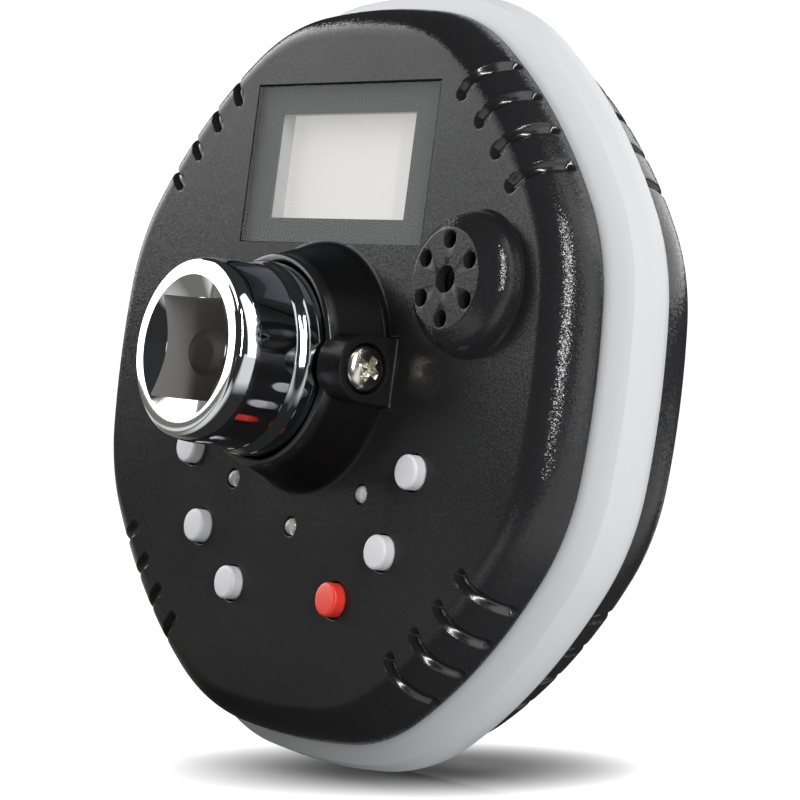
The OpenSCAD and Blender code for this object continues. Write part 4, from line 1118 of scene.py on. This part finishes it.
def floor_material():
    """White sweep to the eye with a painted soft shadow under the object, a table with bright patches of glow
    painted into what the object mirrors, and a table whose glow, brighter on the right, is painted bounce light for
    the object."""
    mat, tree, shader, coords = start_material("floor_white", Roughness=0.9, Specular_IOR_Level=0.0,
                                               Base_Color=grey(0.10))
    turned = add_node(tree, "ShaderNodeMapping", {
        "Vector": coords, "Location": SHADOW_AT, "Rotation": (0, 0, radians(SHADOW_TURN)),
        "Scale": SHADOW_SIZE}, vector_type="TEXTURE")
    # Painted shadow: the glow that the eye sees fades to almost nothing inside the ellipse under the object.
    edge = spread(tree, vector_node(tree, "LENGTH", turned.outputs["Vector"]), 0.25, 1.05)
    painted_shadow_glow = spread(tree, math_node(tree, "MULTIPLY", edge, edge), 0.0, 1.0, 0.035, BACKDROP)
    glow = add_node(tree, "ShaderNodeEmission", {"Strength": painted_shadow_glow})
    seen = add_node(tree, "ShaderNodeAddShader", {0: shader.outputs[0], 1: glow.outputs[0]})
    axes = add_node(tree, "ShaderNodeSeparateXYZ", {0: coords}).outputs
    across, along = axes["X"], axes["Y"]

    def patch(*edges):
        """Soft-edged patch of the table: product of ramps over X or Y."""
        value = spread(tree, *edges[0])
        for ramp in edges[1:]:
            value = math_node(tree, "MULTIPLY", value, spread(tree, *ramp))
        return value

    # Painted reflections: soft patches where the table glows for what the polished parts mirror, and the rest is
    # dim.
    in_front = patch((along, -0.008, -0.032), (along, -0.115, -0.085), (across, -0.065, -0.03),
                     (across, 0.075, 0.045))
    at_right = patch((across, 0.05, 0.085), (along, -0.03, 0.0))
    at_left = patch((across, -0.13, -0.19), (across, -0.33, -0.28))
    patches = math_node(tree, "MAXIMUM", in_front, math_node(tree, "MAXIMUM", at_right, at_left))
    dim = mix_colour(tree, spread(tree, across, -0.03, -0.06), grey(0.03), (0.19, 0.19, 0.165, 1))
    painted_reflection_colour = mix_colour(tree, patches, dim, (0.80, 0.80, 0.81, 1))
    # Painted bounce light: for other rays the table glows dim on the left and bright on the right.
    painted_bounce_colour = mix_colour(tree, spread(tree, across, -0.02, 0.07), (0.07, 0.07, 0.055, 1), (1.15, 1.15, 1.17, 1))
    table = add_node(tree, "ShaderNodeEmission",
                     {"Color": mix_colour(tree, path_is(tree, "Is Glossy Ray"), painted_bounce_colour, painted_reflection_colour)})
    both = mix_shaders(tree, path_is(tree, "Is Camera Ray"), table, seen)
    feed_all(tree, tree.nodes["Material Output"], {"Surface": both})
    return mat


def studio_world():
    """White backdrop to the eye, and a dim room around the lights."""
    world = bpy.data.worlds.new("studio")
    bpy.context.scene.world = world
    world.use_nodes = True
    tree = world.node_tree
    tree.nodes.clear()
    seen = add_node(tree, "ShaderNodeBackground", {"Color": grey(1), "Strength": BACKDROP})
    room = add_node(tree, "ShaderNodeBackground", {"Color": (0.95, 0.97, 1.0, 1), "Strength": ROOM_LIGHT})
    both = mix_shaders(tree, path_is(tree, "Is Camera Ray"), room, seen)
    add_node(tree, "ShaderNodeOutputWorld", {"Surface": both})


def from_side(turn, rise):
    """Place of a light a metre away: turn from straight in front to the right, and rise above the table."""
    t, e = radians(turn), radians(rise)
    return Vector((sin(t) * cos(e), -cos(t) * cos(e), sin(e)))


# Softboxes: name, place, size, watts and what they light
SOFTBOXES = [
    ("left_wall", from_side(-66, 20), (1.3, 0.79), 9.8, "others"),
    ("left_haze", from_side(-66, 21), (1.3, 0.60), 7.6, "shells"),
    ("key", from_side(-28, 62), (1.5, 0.6), 6.8, "others"),
    ("right_strip", from_side(69, 24), (0.07, 1.0), 7.6, "pieces"),
    ("rear_card", from_side(112, 30), (0.5, 1.6), 3.4, "pieces"),
    ("behind", from_side(172, 36), (1.4, 0.8), 7.0, "pieces"),
    ("overhead", (0.06, 0.06, 0.9), (0.36, 0.36), 11.5, "table"),
]
AIMS = {"overhead": (0.02, 0.03, 0)}


def add_softboxes(groups):
    """Adds the softboxes, each lighting its own group of objects."""
    for name, at, size, power, lit in SOFTBOXES:
        data = bpy.data.lights.new(name, "AREA")
        data.shape = "RECTANGLE"
        data.size, data.size_y = size
        data.energy = power
        obj = add_object(name, data)
        obj.location = at
        aim = Vector(AIMS.get(name, (0, 0.02, 0)))
        obj.rotation_euler = (aim - Vector(at)).to_track_quat("-Z", "Y").to_euler()
        obj.visible_camera = False
        obj.light_linking.receiver_collection = groups[lit]


def build_stage():
    """Floor, backdrop and lights. Each group of objects has its own softboxes."""
    bpy.ops.mesh.primitive_plane_add(size=30, location=(0, 0, 0))
    floor = bpy.context.object
    floor.name = "floor"
    floor.data.transform(Matrix.Translation((0, 0, TABLE_Z)))
    floor.data.materials.append(floor_material())
    studio_world()
    pieces = [obj for obj in bpy.context.scene.collection.all_objects if obj.type == "MESH" and obj is not floor]
    shells = [obj for obj in pieces if obj.name in ("shell_front", "shell_rear", "cover_plate")]
    lit = {"pieces": pieces, "shells": shells, "others": [obj for obj in pieces if obj not in shells],
           "table": [floor]}
    groups = {}
    for name, objects in lit.items():
        groups[name] = bpy.data.collections.new("lit_" + name)
        for obj in objects:
            groups[name].objects.link(obj)
    add_softboxes(groups)


def set_tone():
    view = bpy.context.scene.view_settings
    view.view_transform, view.look = "Standard", "None"
    view.exposure, view.gamma = 0.0, 1.0


set_camera()
build_front_shell()
build_rear_shell()
build_cover()
build_band()
build_drive()
build_lug_screw()
build_screws()
for which, at in BUTTONS.items():
    build_button(which, at)
for which, at in LIGHTS.items():
    build_light(which, at)
build_lens()
build_spring()
paint_frame_nodes()
build_stage()
set_tone()
